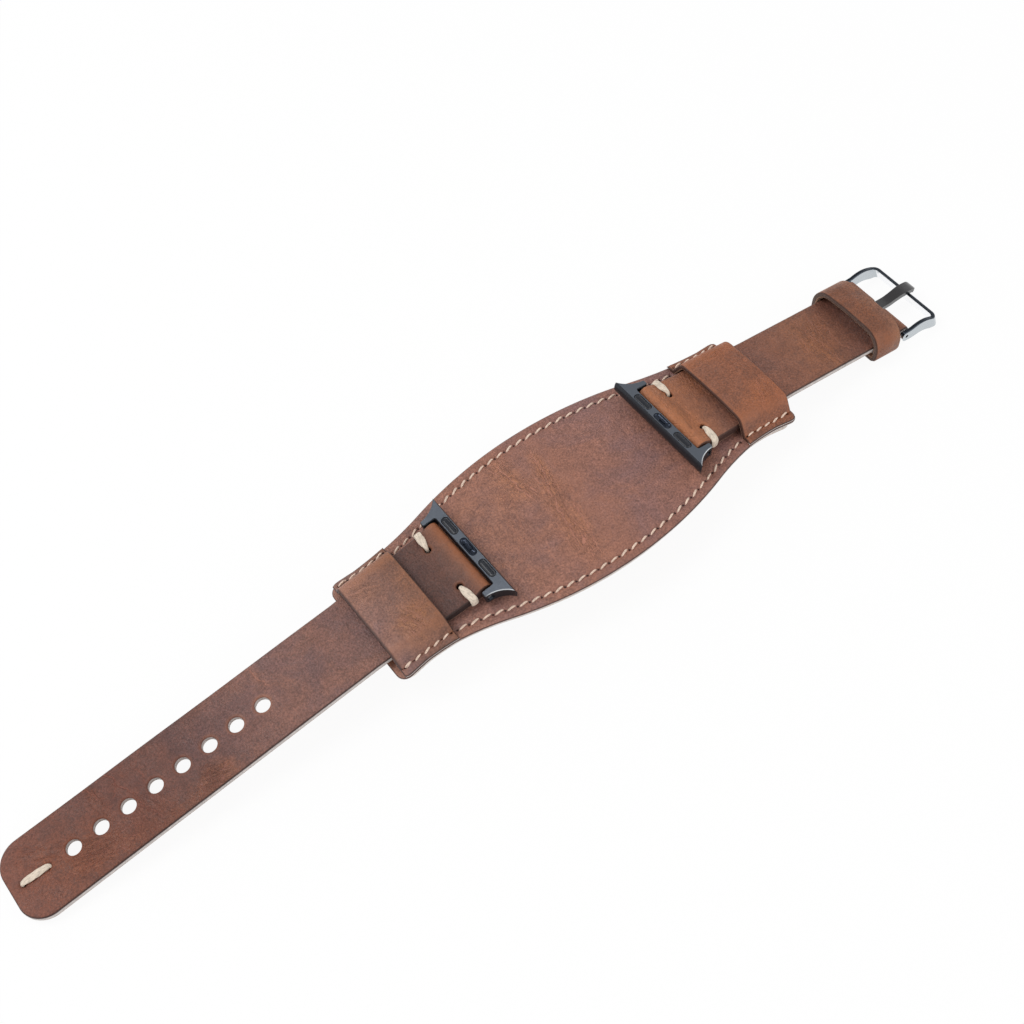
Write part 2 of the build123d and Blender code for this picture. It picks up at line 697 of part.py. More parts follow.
# Tongue, looped round the spring bar, arched up and hooked over the buckle's front
with BuildPart() as buckle_tongue:
    loop_radius = buckle_bore_radius + tongue_loop_wall
    over_front = buckle_top + tongue_rest_gap + tongue_thickness / 2
    start_height = fold_axis_height + loop_radius - tongue_thickness / 2
    reach = buckle_front - buckle_axis
    with BuildSketch(side_plane(1)):
        with BuildLine():
            spine = Spline((buckle_axis, start_height),
                           (buckle_axis + reach / 3, start_height + tongue_lift),
                           (buckle_front - buckle_corner_radius, over_front + tongue_lift),
                           (buckle_front - buckle_wall / 2, over_front + tongue_lift),
                           (buckle_front + tongue_overhang, over_front - tongue_droop),
                           tangents=[(1, 0), (1, -1)])
        trace(spine, line_width=tongue_thickness)
        with Locations((buckle_axis, fold_axis_height)):
            Circle(loop_radius)
            Circle(buckle_bore_radius, mode=Mode.SUBTRACT)
    extrude(amount=tongue_hook_width, both=True)
    with BuildSketch(lie_plane(1)) as plan:
        hook = buckle_front + tongue_overhang + tongue_thickness / 2
        with BuildLine():
            Polyline((buckle_axis - loop_radius, 0), (buckle_axis - loop_radius, tongue_width / 2),
                     (buckle_axis + reach / 2, tongue_width / 2),
                     (buckle_front - buckle_corner_radius, tongue_hook_width / 2),
                     (hook, tongue_hook_width / 2), (hook, 0))
            mirror(about=Plane.XZ)
        make_face()
        tips = plan.vertices().group_by(Axis.X)[-1].sort_by(lambda tip: abs(tip.Y))
        fillet(tips[-2:], tongue_hook_width / 3)
    extrude(amount=buckle_top + tongue_hook_width * 2, both=True, mode=Mode.INTERSECT)
keep(buckle_tongue, "buckle_tongue")

# Spring bar: a tube in the strap's fold, a coil inside it, and a tip that springs out of each end
tube_half = buckle_half_width - buckle_wall - spring_tube_end_gap
tube_bore_radius = spring_tube_diameter / 2 - spring_tube_wall
tip_radius = spring_tip_diameter / 2
coil_half = tube_half - spring_tip_stem - spring_tip_travel - running_clearance
with BuildPart() as spring_bar_tube:
    with BuildSketch(across_plane(1, buckle_axis, fold_axis_height, 0)):
        Circle(spring_tube_diameter / 2)
        Circle(tube_bore_radius, mode=Mode.SUBTRACT)
    extrude(amount=tube_half, both=True)
keep(spring_bar_tube, "spring_bar_tube")

with BuildPart() as spring_bar_coil:
    with BuildSketch(across_plane(1, buckle_axis, fold_axis_height, 0)):
        Circle(tube_bore_radius - seat_clearance)
    extrude(amount=coil_half, both=True)
keep(spring_bar_coil, "spring_bar_coil")

for way, label in ((-1, "spring_bar_tip_near"), (1, "spring_bar_tip_far")):
    with BuildPart() as tip:
        inner_end = across_plane(1, buckle_axis, fold_axis_height, way * (tube_half - spring_tip_stem))
        with BuildSketch(inner_end):
            Circle(tip_radius)
        extrude(amount=way * (spring_tip_stem + spring_tip_reach))
    keep(tip, label)
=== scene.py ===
import json
from math import asin, ceil, cos, pi, radians, sin, tan

import bmesh
import bpy
import numpy as np
from mathutils import Matrix, Vector, geometry


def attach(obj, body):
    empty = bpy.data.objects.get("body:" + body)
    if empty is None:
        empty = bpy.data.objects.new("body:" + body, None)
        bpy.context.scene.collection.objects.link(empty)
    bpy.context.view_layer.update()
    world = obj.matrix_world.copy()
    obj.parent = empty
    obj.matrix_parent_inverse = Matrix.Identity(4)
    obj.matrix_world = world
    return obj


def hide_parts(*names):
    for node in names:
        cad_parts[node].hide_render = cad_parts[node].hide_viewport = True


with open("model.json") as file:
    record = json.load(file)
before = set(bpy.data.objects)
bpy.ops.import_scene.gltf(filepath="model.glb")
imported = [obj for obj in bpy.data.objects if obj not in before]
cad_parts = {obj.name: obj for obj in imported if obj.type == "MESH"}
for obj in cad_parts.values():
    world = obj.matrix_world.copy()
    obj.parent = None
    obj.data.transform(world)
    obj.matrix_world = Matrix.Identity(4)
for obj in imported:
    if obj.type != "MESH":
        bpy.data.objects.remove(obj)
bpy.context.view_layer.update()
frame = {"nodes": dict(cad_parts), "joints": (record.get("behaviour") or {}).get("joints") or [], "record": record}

# Lengths below are in millimetres, and MM turns them into the frame's metres.
MM = 0.001
BODIES = frame["record"]["behaviour"]["bodies"]
BODY_OF = {node: body for body, nodes in BODIES.items() for node in nodes}
JOINTS = {joint["name"]: joint for joint in frame["joints"]}
TAIL, BUCKLE = -1, 1
SIDE_NAMES = {TAIL: "tail", BUCKLE: "buckle"}

# Pad
PAD_MIDDLE_RADIUS = 1200.0
PAD_END_RADIUS = 170.0
PAD_MIDDLE_REACH = 24.0
PAD_HALF_LENGTH = 51.3
PAD_MIDDLE_HALF_WIDTH = 19.7
PAD_SIDE_RADIUS = 96.0
PAD_NECK_PLACE = 45.0
PAD_NECK_LENGTH = 18.0
PAD_CORNER_HALF_WIDTH = 13.8
PAD_CORNER_RADIUS = 2.4
PAD_TOP_THICKNESS = 1.4
PAD_LINING_THICKNESS = 1.2
PAD_NEAR_FULLNESS = 1.2
PAD_NEAR_REACH = 38.0
PAD_EDGE_SKIVE = 0.6
PAD_GROOVE = 0.16
LINING_SETBACK = 0.85

# Bridges
BRIDGE_HALF_LENGTH = 6.5
BRIDGE_CROWN = 3.9
BRIDGE_SHOULDER_PLACE = 8.25
BRIDGE_SHOULDER_UP = 2.21
BRIDGE_SHOULDER = 1.4
BRIDGE_SLOPE = 59.0
BRIDGE_LEATHER = 1.1
BRIDGE_FOOT_BEND = 1.0
BRIDGE_FOOT_SKIVE = 0.45
BRIDGE_GROOVE = 0.14

# Straps, measured outward from a bridge's middle and up from the pad's top
LUG_AXIS = -16.3
ADAPTER_FRONT = -20.8
FOLD_BOTTOM = 0.3
FOLD_AXIS = 1.9
FOLD_RADIUS = 1.6
FOLD_SLOPE = 3.2
FLAP_LENGTH = 9.6
FLAP_SKIVE = 0.8
STRAP_BOTTOM = 0.4
STRAP_TOP = 2.6
STRAP_EDGE_SKIVE = 0.55
STRAP_FULL = 3.0
STRAP_TAPER = 26.0
STRAP_FOLD_HALF = 9.7
STRAP_SLIM_HALF = 8.85
TAIL_END = 90.3
TAIL_TIP_HALF = 9.1
TAIL_TIP_CORNER = 5.6
HOLE_COUNT = 8
HOLE_PITCH = 6.34
HOLE_INSET = 14.22
HOLE_RADIUS = 1.65
BUCKLE_AXIS = 42.4
TONGUE_SLOT_LENGTH = 5.6
TONGUE_SLOT_HALF = 1.6
FOLD_START = LUG_AXIS - FOLD_RADIUS
BUCKLE_END = BUCKLE_AXIS + FOLD_RADIUS

# Keeper
KEEPER_PLACE = BUCKLE_AXIS - 5.9
KEEPER_WIDTH = 7.2
KEEPER_LEATHER = 1.25
KEEPER_HALF = 9.2
KEEPER_HEIGHT = 4.8
KEEPER_RISE = 0.6
KEEPER_CORNER = 3.2
KEEPER_UNDER_CORNER = 0.3

# Thread
SEAM_INSET = 2.3
SEAM_PITCH = 2.57
FLANGE_SEAM_INSET = 1.8
FLANGE_SEAM_PITCH = 2.3
FAR_SEAM_SHIFT = 0.5
FINE_THREAD = 0.44
FINE_STITCH = 1.95
AWL_RADIUS = 0.36
AWL_DEPTH = 0.4
FINE_RISE = 0.3
FINE_SINK = 0.16
STITCH_LIFT = 0.12
DOUBLED_LIFT = 0.32
THICK_WIDTH = 1.6
THICK_HEIGHT = 0.62
HALF_THREAD = THICK_HEIGHT / 2 + 0.02
THREAD_STEP = 0.28
THREAD_SIDES = 14
THREAD_PLIES = 2
THREAD_TURN = 4.2
SIDE_STITCH = ADAPTER_FRONT + 8.2
SIDE_STITCH_INNER = 6.1
SIDE_HOLE_RADIUS = 0.72
TIP_STITCH = TAIL_END - 5.7
TIP_STITCH_LENGTH = 5.6
END_STITCH = BUCKLE_AXIS - 4.6
END_STITCH_SPREAD = 5.0
END_STITCH_LENGTH = 3.0

# Fineness of the leather's meshes: rings inside its edges, rows of its grid, rings round its dents,
# and levels down its cut walls (share of the way down, how far out, whether the glue line is there)
EDGE_RINGS = (0.04, 0.12, 0.22)
RIM_RING = 1.7
ROW_SHARE = 0.87
CLEAR_SHARE = 0.4
PIT_RINGS = (0.45, 0.8, 1.25)
WALL_LEVELS = ((0.12, 0.7, 0), (0.42, 1.0, 0), (0.5, 1.0, 1), (0.58, 1.0, 0), (0.88, 0.7, 0))
BEND_STEP = 0.2
DOUBLED = 0.02
PLAN_SCALE = 0.01

# Metal: where the buckle's frame is bowed up and by how much, and which angle counts as sharp
FRAME_BOW = (BUCKLE_AXIS + 0.8, BUCKLE_AXIS + 8.2, 0.9)
SHARP_ANGLE = radians(32)

# In metres: where the adapters' painted highlight on their near ends starts, and how close doubled points lie
GLINT_END = (0.0112, 0.0116)
LEATHER_MERGE = 2e-6
METAL_MERGE = 1e-6

# Oiled leather: places along it where its ramp of colours starts and stops, the base that its
# patches fade by, how its colour shifts where it is worn or burnt, how dark it is painted where
# shade falls in its awl holes and on its shaded cut walls, and how fine its marks are (repeats in
# a metre)
HUE_START, HUE_STOP = -60, 100
EULER = 2.718
DEEP, WARM = (0.88, 0.92, 0.99), (1.13, 1.04, 0.89)
PALE, ORANGE = (1.75, 1.55, 1.3), (1.44, 1.25, 0.84)
PORES, BURNT = (0.45, 0.4, 0.38), (0.2, 0.18, 0.18)
AWL_HOLE_SHADE, SHADED_WALL = (0.14, 0.1, 0.1), (0.26, 0.24, 0.26)
BLOTCH_SCALE = 75
SCUFF_SCALE = 70
SHEEN_SCALE = 240
MOTTLE_SCALE = 420
CRACK_SCALE = 850
SPECK_SCALE = 2300
NAP_SCALE = 2600
WRINKLE_SCALES = (900, 2600, 1500)
SCRATCH_SCALES = (90, 900, 500)
FIBRE_SCALES = (700, 700, 3200)

# Table in metres, and the camera in degrees, millimetres and pixels of the photograph
TABLE_GLOW = 0.93
TABLE_REACH = 1.6
TABLE_TOP = -0.00005
CAMERA_ANGLES = (-28.615, 55.550, -9.307)
CAMERA_TARGET = (10.759, 10.467, 0.0)
CAMERA_DISTANCE = 361.99
CAMERA_FOCAL_PIXELS = 1696.1
PHOTO_PIXELS = 1024
SENSOR_WIDTH = 36

# Lamps: name, place and size in metres, power in watts. The world's strength is the first of its
# two values low down and the second overhead, and changes between the two heights.
LAMPS = (("window", (-0.35, 0.25, 0.75), 0.5, 3.2), ("fill", (0.45, -0.55, 0.6), 0.6, 1.6))
WORLD_STRENGTHS = (1.0, 0.4)
WORLD_HEIGHTS = (0.25, 0.75)


# Places on the object

def lie_matrix(side):
    """Frame of one strap: x outward along it, y across, z up, from the pad's top at its bridge."""
    outward = Vector(JOINTS[SIDE_NAMES[side] + "_slide"]["axis"])
    upward = Vector((-side * outward.z, 0, side * outward.x))
    hinge = Vector(JOINTS[SIDE_NAMES[side] + "_adapter_hinge"]["pos_m"])
    origin = hinge - outward * LUG_AXIS * MM - upward * FOLD_AXIS * MM
    return np.array([outward, (0, 1, 0), upward, origin]).T


LIE = {side: lie_matrix(side) for side in (TAIL, BUCKLE)}


def on_strap(side):
    """Puts points, given along, across and up beside a strap, into the frame."""
    matrix = LIE[side]

    def place(s, t, h):
        return np.stack([s * MM, t * MM, h * MM], -1) @ matrix[:, :3].T + matrix[:, 3]
    return place


def arch(x):
    """Height and slope of the pad's top at a distance from its middle."""
    far = np.abs(x)
    turn = PAD_MIDDLE_REACH / PAD_MIDDLE_RADIUS
    reach = PAD_MIDDLE_RADIUS * sin(turn)
    end_x = reach - PAD_END_RADIUS * sin(turn)
    end_z = (PAD_MIDDLE_RADIUS - PAD_END_RADIUS) * cos(turn) - PAD_MIDDLE_RADIUS
    middle_angle = np.arcsin(np.minimum(far, reach) / PAD_MIDDLE_RADIUS)
    end_angle = np.arcsin((np.maximum(far, reach) - end_x) / PAD_END_RADIUS)
    angle = np.where(far < reach, middle_angle, end_angle)
    height = np.where(far < reach, PAD_MIDDLE_RADIUS * (np.cos(angle) - 1),
                      end_z + PAD_END_RADIUS * np.cos(angle))
    return height, np.sign(x) * angle


BRIDGE_SPAN = LIE[BUCKLE][:, 3] - LIE[TAIL][:, 3]
BRIDGE_REACH = float(np.linalg.norm(BRIDGE_SPAN)) / 2 / MM
PAD_X = BRIDGE_SPAN / np.linalg.norm(BRIDGE_SPAN)
PAD_Z = np.array([-PAD_X[2], 0, PAD_X[0]])
PAD_ORIGIN = (LIE[BUCKLE][:, 3] + LIE[TAIL][:, 3]) / 2 - PAD_Z * float(arch(BRIDGE_REACH)[0]) * MM
FLANGE_START = BRIDGE_REACH - BRIDGE_HALF_LENGTH


def on_pad(x, t, h):
    """Puts points beside the pad's arched top into the frame."""
    height, angle = arch(x)
    along = (x + h * np.sin(angle)) * MM
    up = (height + h * np.cos(angle)) * MM
    place = along[..., None] * PAD_X + up[..., None] * PAD_Z + PAD_ORIGIN
    place[..., 1] += t * MM
    return place


def arc(middle, radius, start, stop, step=0.5):
    """Points along an arc, angles in radians."""
    count = max(3, ceil(abs(stop - start) * radius / step) + 1)
    angles = np.linspace(start, stop, count)
    return np.stack([middle[0] + radius * np.cos(angles), middle[1] + radius * np.sin(angles)], -1)


def run(start, stop, step=0.7):
    """Points along a straight line."""
    start, stop = np.array(start, float), np.array(stop, float)
    count = max(2, ceil(np.linalg.norm(stop - start) / step) + 1)
    return start + (stop - start) * np.linspace(0, 1, count)[:, None]


def joined(*pieces, closed=True):
    """One path from several, without doubled points."""
    points = [pieces[0][0]]
    for piece in pieces:
        for point in piece:
            if np.linalg.norm(point - points[-1]) > DOUBLED:
                points.append(point)
    if closed and np.linalg.norm(points[0] - points[-1]) < DOUBLED:
        points.pop()
    return np.array(points)


def pad_half_width(x):
    """Half the pad's width at a distance from its middle."""
    far = np.abs(x)
    turn_place = PAD_NECK_PLACE - PAD_NECK_LENGTH
    turn = asin(turn_place / PAD_SIDE_RADIUS)
    crown = PAD_MIDDLE_HALF_WIDTH - PAD_SIDE_RADIUS + np.sqrt(PAD_SIDE_RADIUS ** 2 - far ** 2)
    turn_half = PAD_MIDDLE_HALF_WIDTH - PAD_SIDE_RADIUS * (1 - cos(turn))
    neck_radius = PAD_NECK_LENGTH / sin(turn)
    neck_half = turn_half - PAD_NECK_LENGTH * tan(turn / 2)
    dip = np.maximum(PAD_NECK_PLACE - far, 0)
    neck = neck_half + neck_radius - np.sqrt(neck_radius ** 2 - np.minimum(dip, PAD_NECK_LENGTH) ** 2)
    share = np.clip((far - PAD_NECK_PLACE) / (PAD_HALF_LENGTH - PAD_NECK_PLACE), 0, 1)
    foot = neck_half + (PAD_CORNER_HALF_WIDTH - neck_half) * share
    width = np.where(far < turn_place, crown, np.where(far < PAD_NECK_PLACE, neck, foot))
    corner = np.clip(far - (PAD_HALF_LENGTH - PAD_CORNER_RADIUS), 0, PAD_CORNER_RADIUS)
    return width - PAD_CORNER_RADIUS + np.sqrt(PAD_CORNER_RADIUS ** 2 - corner ** 2)


def pad_edge(x, way):
    """How far out the pad's edge lies: its near side is cut a little fuller than its far side."""
    fuller = PAD_NEAR_FULLNESS * np.clip(1 - (x / PAD_NEAR_REACH) ** 2, 0, 1)
    return pad_half_width(x) + np.where(way < 0, fuller, 0)


# What the leather, thread and metal share

def unit(ways):
    """The ways, each of length one."""
    return ways / np.maximum(np.linalg.norm(ways, axis=1), 1e-9)[:, None]


def reach_along(path):
    """How far along a path each of its points lies."""
    return np.concatenate([[0], np.cumsum(np.linalg.norm(np.diff(path, axis=0), axis=1))])


def along_path(path, reach, places):
    """Points at places along a path, or what else is known at each of its points."""
    return np.stack([np.interp(places, reach, part) for part in path.T], -1)


def bump(x, place, width):
    """A round hump of height one."""
    return np.exp(-((x - place) / width) ** 2)


def smooth_step(x, start, stop):
    """Rises smoothly from 0 to 1."""
    share = np.clip((x - start) / (stop - start), 0, 1)
    return share * share * (3 - 2 * share)


def ripple(s, t, seed, size, height, waves=5):
    """Slow unevenness of hand-cut leather, from a few crossed waves."""
    rng = np.random.default_rng(seed)
    total = np.zeros_like(s)
    for _ in range(waves):
        angle, phase = rng.uniform(0, pi), rng.uniform(0, 2 * pi)
        length = size * rng.uniform(0.7, 1.6)
        total += np.sin((s * cos(angle) + t * sin(angle)) * 2 * pi / length + phase)
    return total * height / waves


def linked(name, data):
    """A new object in the scene."""
    made = bpy.data.objects.new(name, data)
    bpy.context.scene.collection.objects.link(made)
    return made


def set_mark(mesh, label, values, domain="POINT"):
    """Keeps a number or a vector for every point or face of a mesh."""
    values = np.asarray(values, np.float32)
    kind, key = ("FLOAT", "value") if values.ndim == 1 else ("FLOAT_VECTOR", "vector")
    mesh.attributes.new(label, kind, domain).data.foreach_set(key, values.ravel())


def finished(name, mesh):
    """A piece from a mesh, with doubled points merged and its faces turned outward."""
    shape = bmesh.new()
    shape.from_mesh(mesh)
    bmesh.ops.remove_doubles(shape, verts=shape.verts, dist=LEATHER_MERGE)
    bmesh.ops.recalc_face_normals(shape, faces=shape.faces)
    shape.to_mesh(mesh)
    shape.free()
    mesh.shade_smooth()
    return linked(name, mesh)


def settle(piece, finish, body, slot, *nodes):
    """Gives a piece its finish and body, and hides the CAD nodes that it stands for."""
    piece.data.materials.clear()
    piece.data.materials.append(finish)
    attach(piece, body)
    if nodes:
        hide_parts(*nodes)


# Leather, cut flat and then bent

def edge_distance(points, starts, stops, batch=2000):
    """Distance from each point to the nearest of the given edges."""
    nearest = np.empty(len(points))
    runs = stops - starts
    lengths = np.maximum((runs ** 2).sum(1), 1e-12)
    for first in range(0, len(points), batch):
        away = points[first:first + batch, None, :] - starts[None]
        share = np.clip((away * runs[None]).sum(2) / lengths[None], 0, 1)
        gap = away - share[..., None] * runs[None]
        nearest[first:first + batch] = np.sqrt((gap ** 2).sum(2).min(1))
    return nearest


def inside(points, loops):
    """Which points lie inside the first loop and in none of the others."""
    x, y = points.T
    found = np.zeros((len(loops), len(points)), bool)
    for row, loop in zip(found, loops):
        for (x1, y1), (x2, y2) in zip(loop, np.roll(loop, -1, 0)):
            if y1 != y2:
                row ^= ((y1 > y) != (y2 > y)) & (x < (x2 - x1) * (y - y1) / (y2 - y1) + x1)
    return found[0] & ~found[1:].any(0)


def outward_normals(loop):
    """Unit normals that point out of a loop that runs anticlockwise."""
    tangent = np.roll(loop, -1, 0) - np.roll(loop, 1, 0)
    return unit(np.stack([tangent[:, 1], -tangent[:, 0]], -1))


def anticlockwise(loop):
    """The loop, turned to run anticlockwise."""
    x, y = loop.T
    area = (x * np.roll(y, -1) - y * np.roll(x, -1)).sum()
    return loop if area > 0 else loop[::-1]


def plan_points(loops, edges, cut_edges, pits, rim, spacing, rings, rows, bends):
    """Points over the plan: the loops, rings inside them, a grid, extra lines, and the dents."""
    points = [edges[0]]
    normals = [outward_normals(loops[0])] + [-outward_normals(loop) for loop in loops[1:]]
    for inset in (*EDGE_RINGS, rim, rim * RIM_RING, *rings):
        for loop, normal in zip(loops, normals):
            ring = loop - normal * inset
            points.append(ring[edge_distance(ring, *edges) > inset * 0.93])
    low, high = loops[0].min(0), loops[0].max(0)
    columns = np.arange(low[1] - spacing, high[1] + spacing, spacing)
    places = np.arange(low[0] - spacing, high[0] + spacing, spacing * ROW_SHARE)
    grid = [(s, t + spacing / 2 * (k % 2)) for k, s in enumerate(places) for t in columns]
    clear = spacing * CLEAR_SHARE
    lines = [(grid, max((rim * RIM_RING, *rings)) + clear)]
    lines += [([(s, t) for t in columns], clear) for s in rows]
    lines += [([(s, t) for s in places], clear) for t in bends]
    for line, least in lines:
        line = np.array(line)
        points.append(line[edge_distance(line, *cut_edges) > least])
    for s, t, radius, _ in pits:
        points += [arc((s, t), radius * share, 0, 2 * pi * 5 / 6, radius) for share in PIT_RINGS]
        points.append(np.array([(s, t)]))
    points = np.concatenate(points)
    keep = inside(points, loops)
    keep[:len(edges[0])] = True
    return points[keep]


def plan_triangles(points, loops):
    """Triangles between the points of a plan, which keep to its loops."""
    edges, first = [], 0
    for loop in loops:
        edges += [(first + k, first + (k + 1) % len(loop)) for k in range(len(loop))]
        first += len(loop)
    flat = [Vector(point) for point in points.tolist()]
    verts, _, faces, *_ = geometry.delaunay_2d_cdt(flat, edges, [], 0, 1e-4)
    verts = np.array([tuple(vert) for vert in verts])
    faces = np.array([face for face in faces if len(face) == 3])
    return verts, faces[inside(verts[faces].mean(1), loops)]


def face_heights(s, t, away, top, bottom, rim, pits):
    """Heights of the two faces, rounded off beside every cut edge, and where awls pricked them."""
    near = np.clip(rim - away, 0, rim)
    high, low = top(s, t, away), bottom(s, t, away)
    drop = np.minimum((rim - np.sqrt(rim ** 2 - near ** 2)) * 0.8, np.maximum(high - low, 0) * 0.35)
    high, low = high - drop, low + drop
    pricked = np.zeros(len(s))
    for pit_s, pit_t, radius, depth in pits:
        gap = np.hypot(s - pit_s, t - pit_t) / radius
        dent = np.exp(-np.minimum(gap, 9) ** 2 * 1.6)
        high = high - depth * dent
        if depth > AWL_DEPTH * 0.9:
            pricked = np.maximum(pricked, dent)
    return high, low, pricked


def plan_border(verts, faces):
    """Edges that belong to one triangle only, their points in order, and the ways out there."""
    pairs = {edge: True for a, b, c in faces.tolist() for edge in ((a, b), (b, c), (c, a))}
    border = [edge for edge in pairs if edge[::-1] not in pairs]
    order = {}
    for edge in border:
        for end in edge:
            order.setdefault(end, len(order))
    ways = np.zeros((len(order), 2))
    for a, b in border:
        along, across = verts[b] - verts[a]
        for end in (a, b):
            ways[order[end]] += (across, -along)
    return border, order, unit(ways)


def wall_points(s, t, high, low, ways, bulge, groove):
    """Rings of points down a cut edge, which bulges a little, with a groove where it is glued."""
    thick = np.minimum(high - low, 1.0)
    for share, out, grooved in WALL_LEVELS:
        away = bulge * thick * out - groove * thick * grooved
        yield s + ways[:, 0] * away, t + ways[:, 1] * away, high + (low - high) * share


def nowhere(s, t):
    """A mark that is nowhere on the leather."""
    return np.zeros(len(s))


def cut_leather(name, outline, top, bottom, place, openings=(), pits=(), folds=(), rim=0.35,
                spacing=1.1, rings=(), rows=(), bends=(), bulge=0.06, glue_line=None,
                bend=nowhere, wall_shade=nowhere, rim_shade_reach=None):
    """Leather cut to an outline and bent into place.

    top and bottom give the height of each face over the plan, place bends the plan into the frame,
    openings are holes, pits are round dents (along, across, radius, depth), folds are the ends
    where the leather turns over instead of being cut, rows and bends are extra places along and
    across it, bend says where it is pulled pale, the wall shade where its cut walls are darkened
    with painted shade, and the rim shade reach how much closer its burnished edge counts, so that
    its dark rim reaches farther in as painted shade."""
    loops = [anticlockwise(loop) for loop in (outline, *openings)]
    starts = np.concatenate(loops)
    stops = np.concatenate([np.roll(loop, -1, 0) for loop in loops])
    cut = np.ones(len(starts), bool)
    for fold in folds:
        cut &= ~((np.abs(starts[:, 0] - fold) < 0.01) & (np.abs(stops[:, 0] - fold) < 0.01))
    outer = cut & (np.arange(len(starts)) < len(loops[0]))
    cut_edges = starts[cut], stops[cut]
    points = plan_points(loops, (starts, stops), cut_edges, pits, rim, spacing, rings, rows, bends)
    verts, faces = plan_triangles(points, loops)
    s, t = verts.T
    outside = edge_distance(verts, starts[outer], stops[outer])
    # Widens the burnished rim where asked: painted shade at the tail bridge's outer end
    if rim_shade_reach:
        outside = outside * rim_shade_reach(s, t)
    away = edge_distance(verts, *cut_edges)
    high, low, pricked = face_heights(s, t, away, top, bottom, rim, pits)

    border, order, ways = plan_border(verts, faces)
    edge = np.array(list(order))
    count, walls = len(verts), len(edge)
    groove = glue_line(s[edge]) if glue_line else nowhere(edge, edge)
    levels = list(wall_points(s[edge], t[edge], high[edge], low[edge], ways, bulge, groove))
    s, t, h = [np.concatenate(parts) for parts in zip((s, t, high), (s, t, low), *levels)]
    polygons = faces.tolist() + (faces[:, ::-1] + count).tolist()
    chain = [edge] + [2 * count + walls * k + np.arange(walls) for k in range(len(levels))]
    chain.append(edge + count)
    for a, b in border:
        i, j = order[a], order[b]
        for upper, lower in zip(chain, chain[1:]):
            polygons.append([int(upper[j]), int(upper[i]), int(lower[i]), int(lower[j])])

    mesh = bpy.data.meshes.new(name)
    mesh.from_pydata(place(s, t, h).tolist(), [], polygons)
    no_face, no_wall = np.zeros(count), np.zeros(walls * len(levels))
    set_mark(mesh, "wall", np.concatenate([no_face, no_face, no_wall + 1]))
    set_mark(mesh, "flesh", np.concatenate([no_face, no_face + 1, no_wall]))
    set_mark(mesh, "inset", np.concatenate([outside, outside, no_wall]))
    set_mark(mesh, "bend", bend(s, t))
    # Where the cut walls are darkened with painted shade
    set_mark(mesh, "wall_shade", wall_shade(s, t))
    set_mark(mesh, "pricked", np.concatenate([pricked, no_face, no_wall]))
    corners = np.empty(len(mesh.loops), int)
    mesh.loops.foreach_get("vertex_index", corners)
    plan = mesh.uv_layers.new(name="plan")
    plan.data.foreach_set("uv", (np.stack([s, t], -1)[corners] * PLAN_SCALE).ravel())
    return finished(name, mesh)


# Nodes

class Nodes:
    """A node tree while it is put together."""

    def __init__(self, tree):
        self.nodes, self.links = tree.nodes, tree.links

    def add(self, kind, sockets=(), **settings):
        """A node with its settings, and its sockets linked or set."""
        node = self.nodes.new(kind)
        for key, value in settings.items():
            setattr(node, key, value)
        for key, value in dict(sockets).items():
            self.feed(node.inputs[key], value)
        return node

    def feed(self, socket, value):
        """Links a socket to another node, or sets it to a constant."""
        if isinstance(value, bpy.types.NodeSocket):
            self.links.new(value, socket)
        else:
            socket.default_value = value

    def maths(self, operation, *values, clamp=False):
        return self.add("ShaderNodeMath", dict(enumerate(values)), operation=operation,
                        use_clamp=clamp).outputs[0]

    def plus(self, *values, clamp=False):
        return self.maths("ADD", *values, clamp=clamp)

    def product(self, *values, clamp=False):
        return self.maths("MULTIPLY", *values, clamp=clamp)

    def size_of(self, value):
        return self.maths("ABSOLUTE", value)


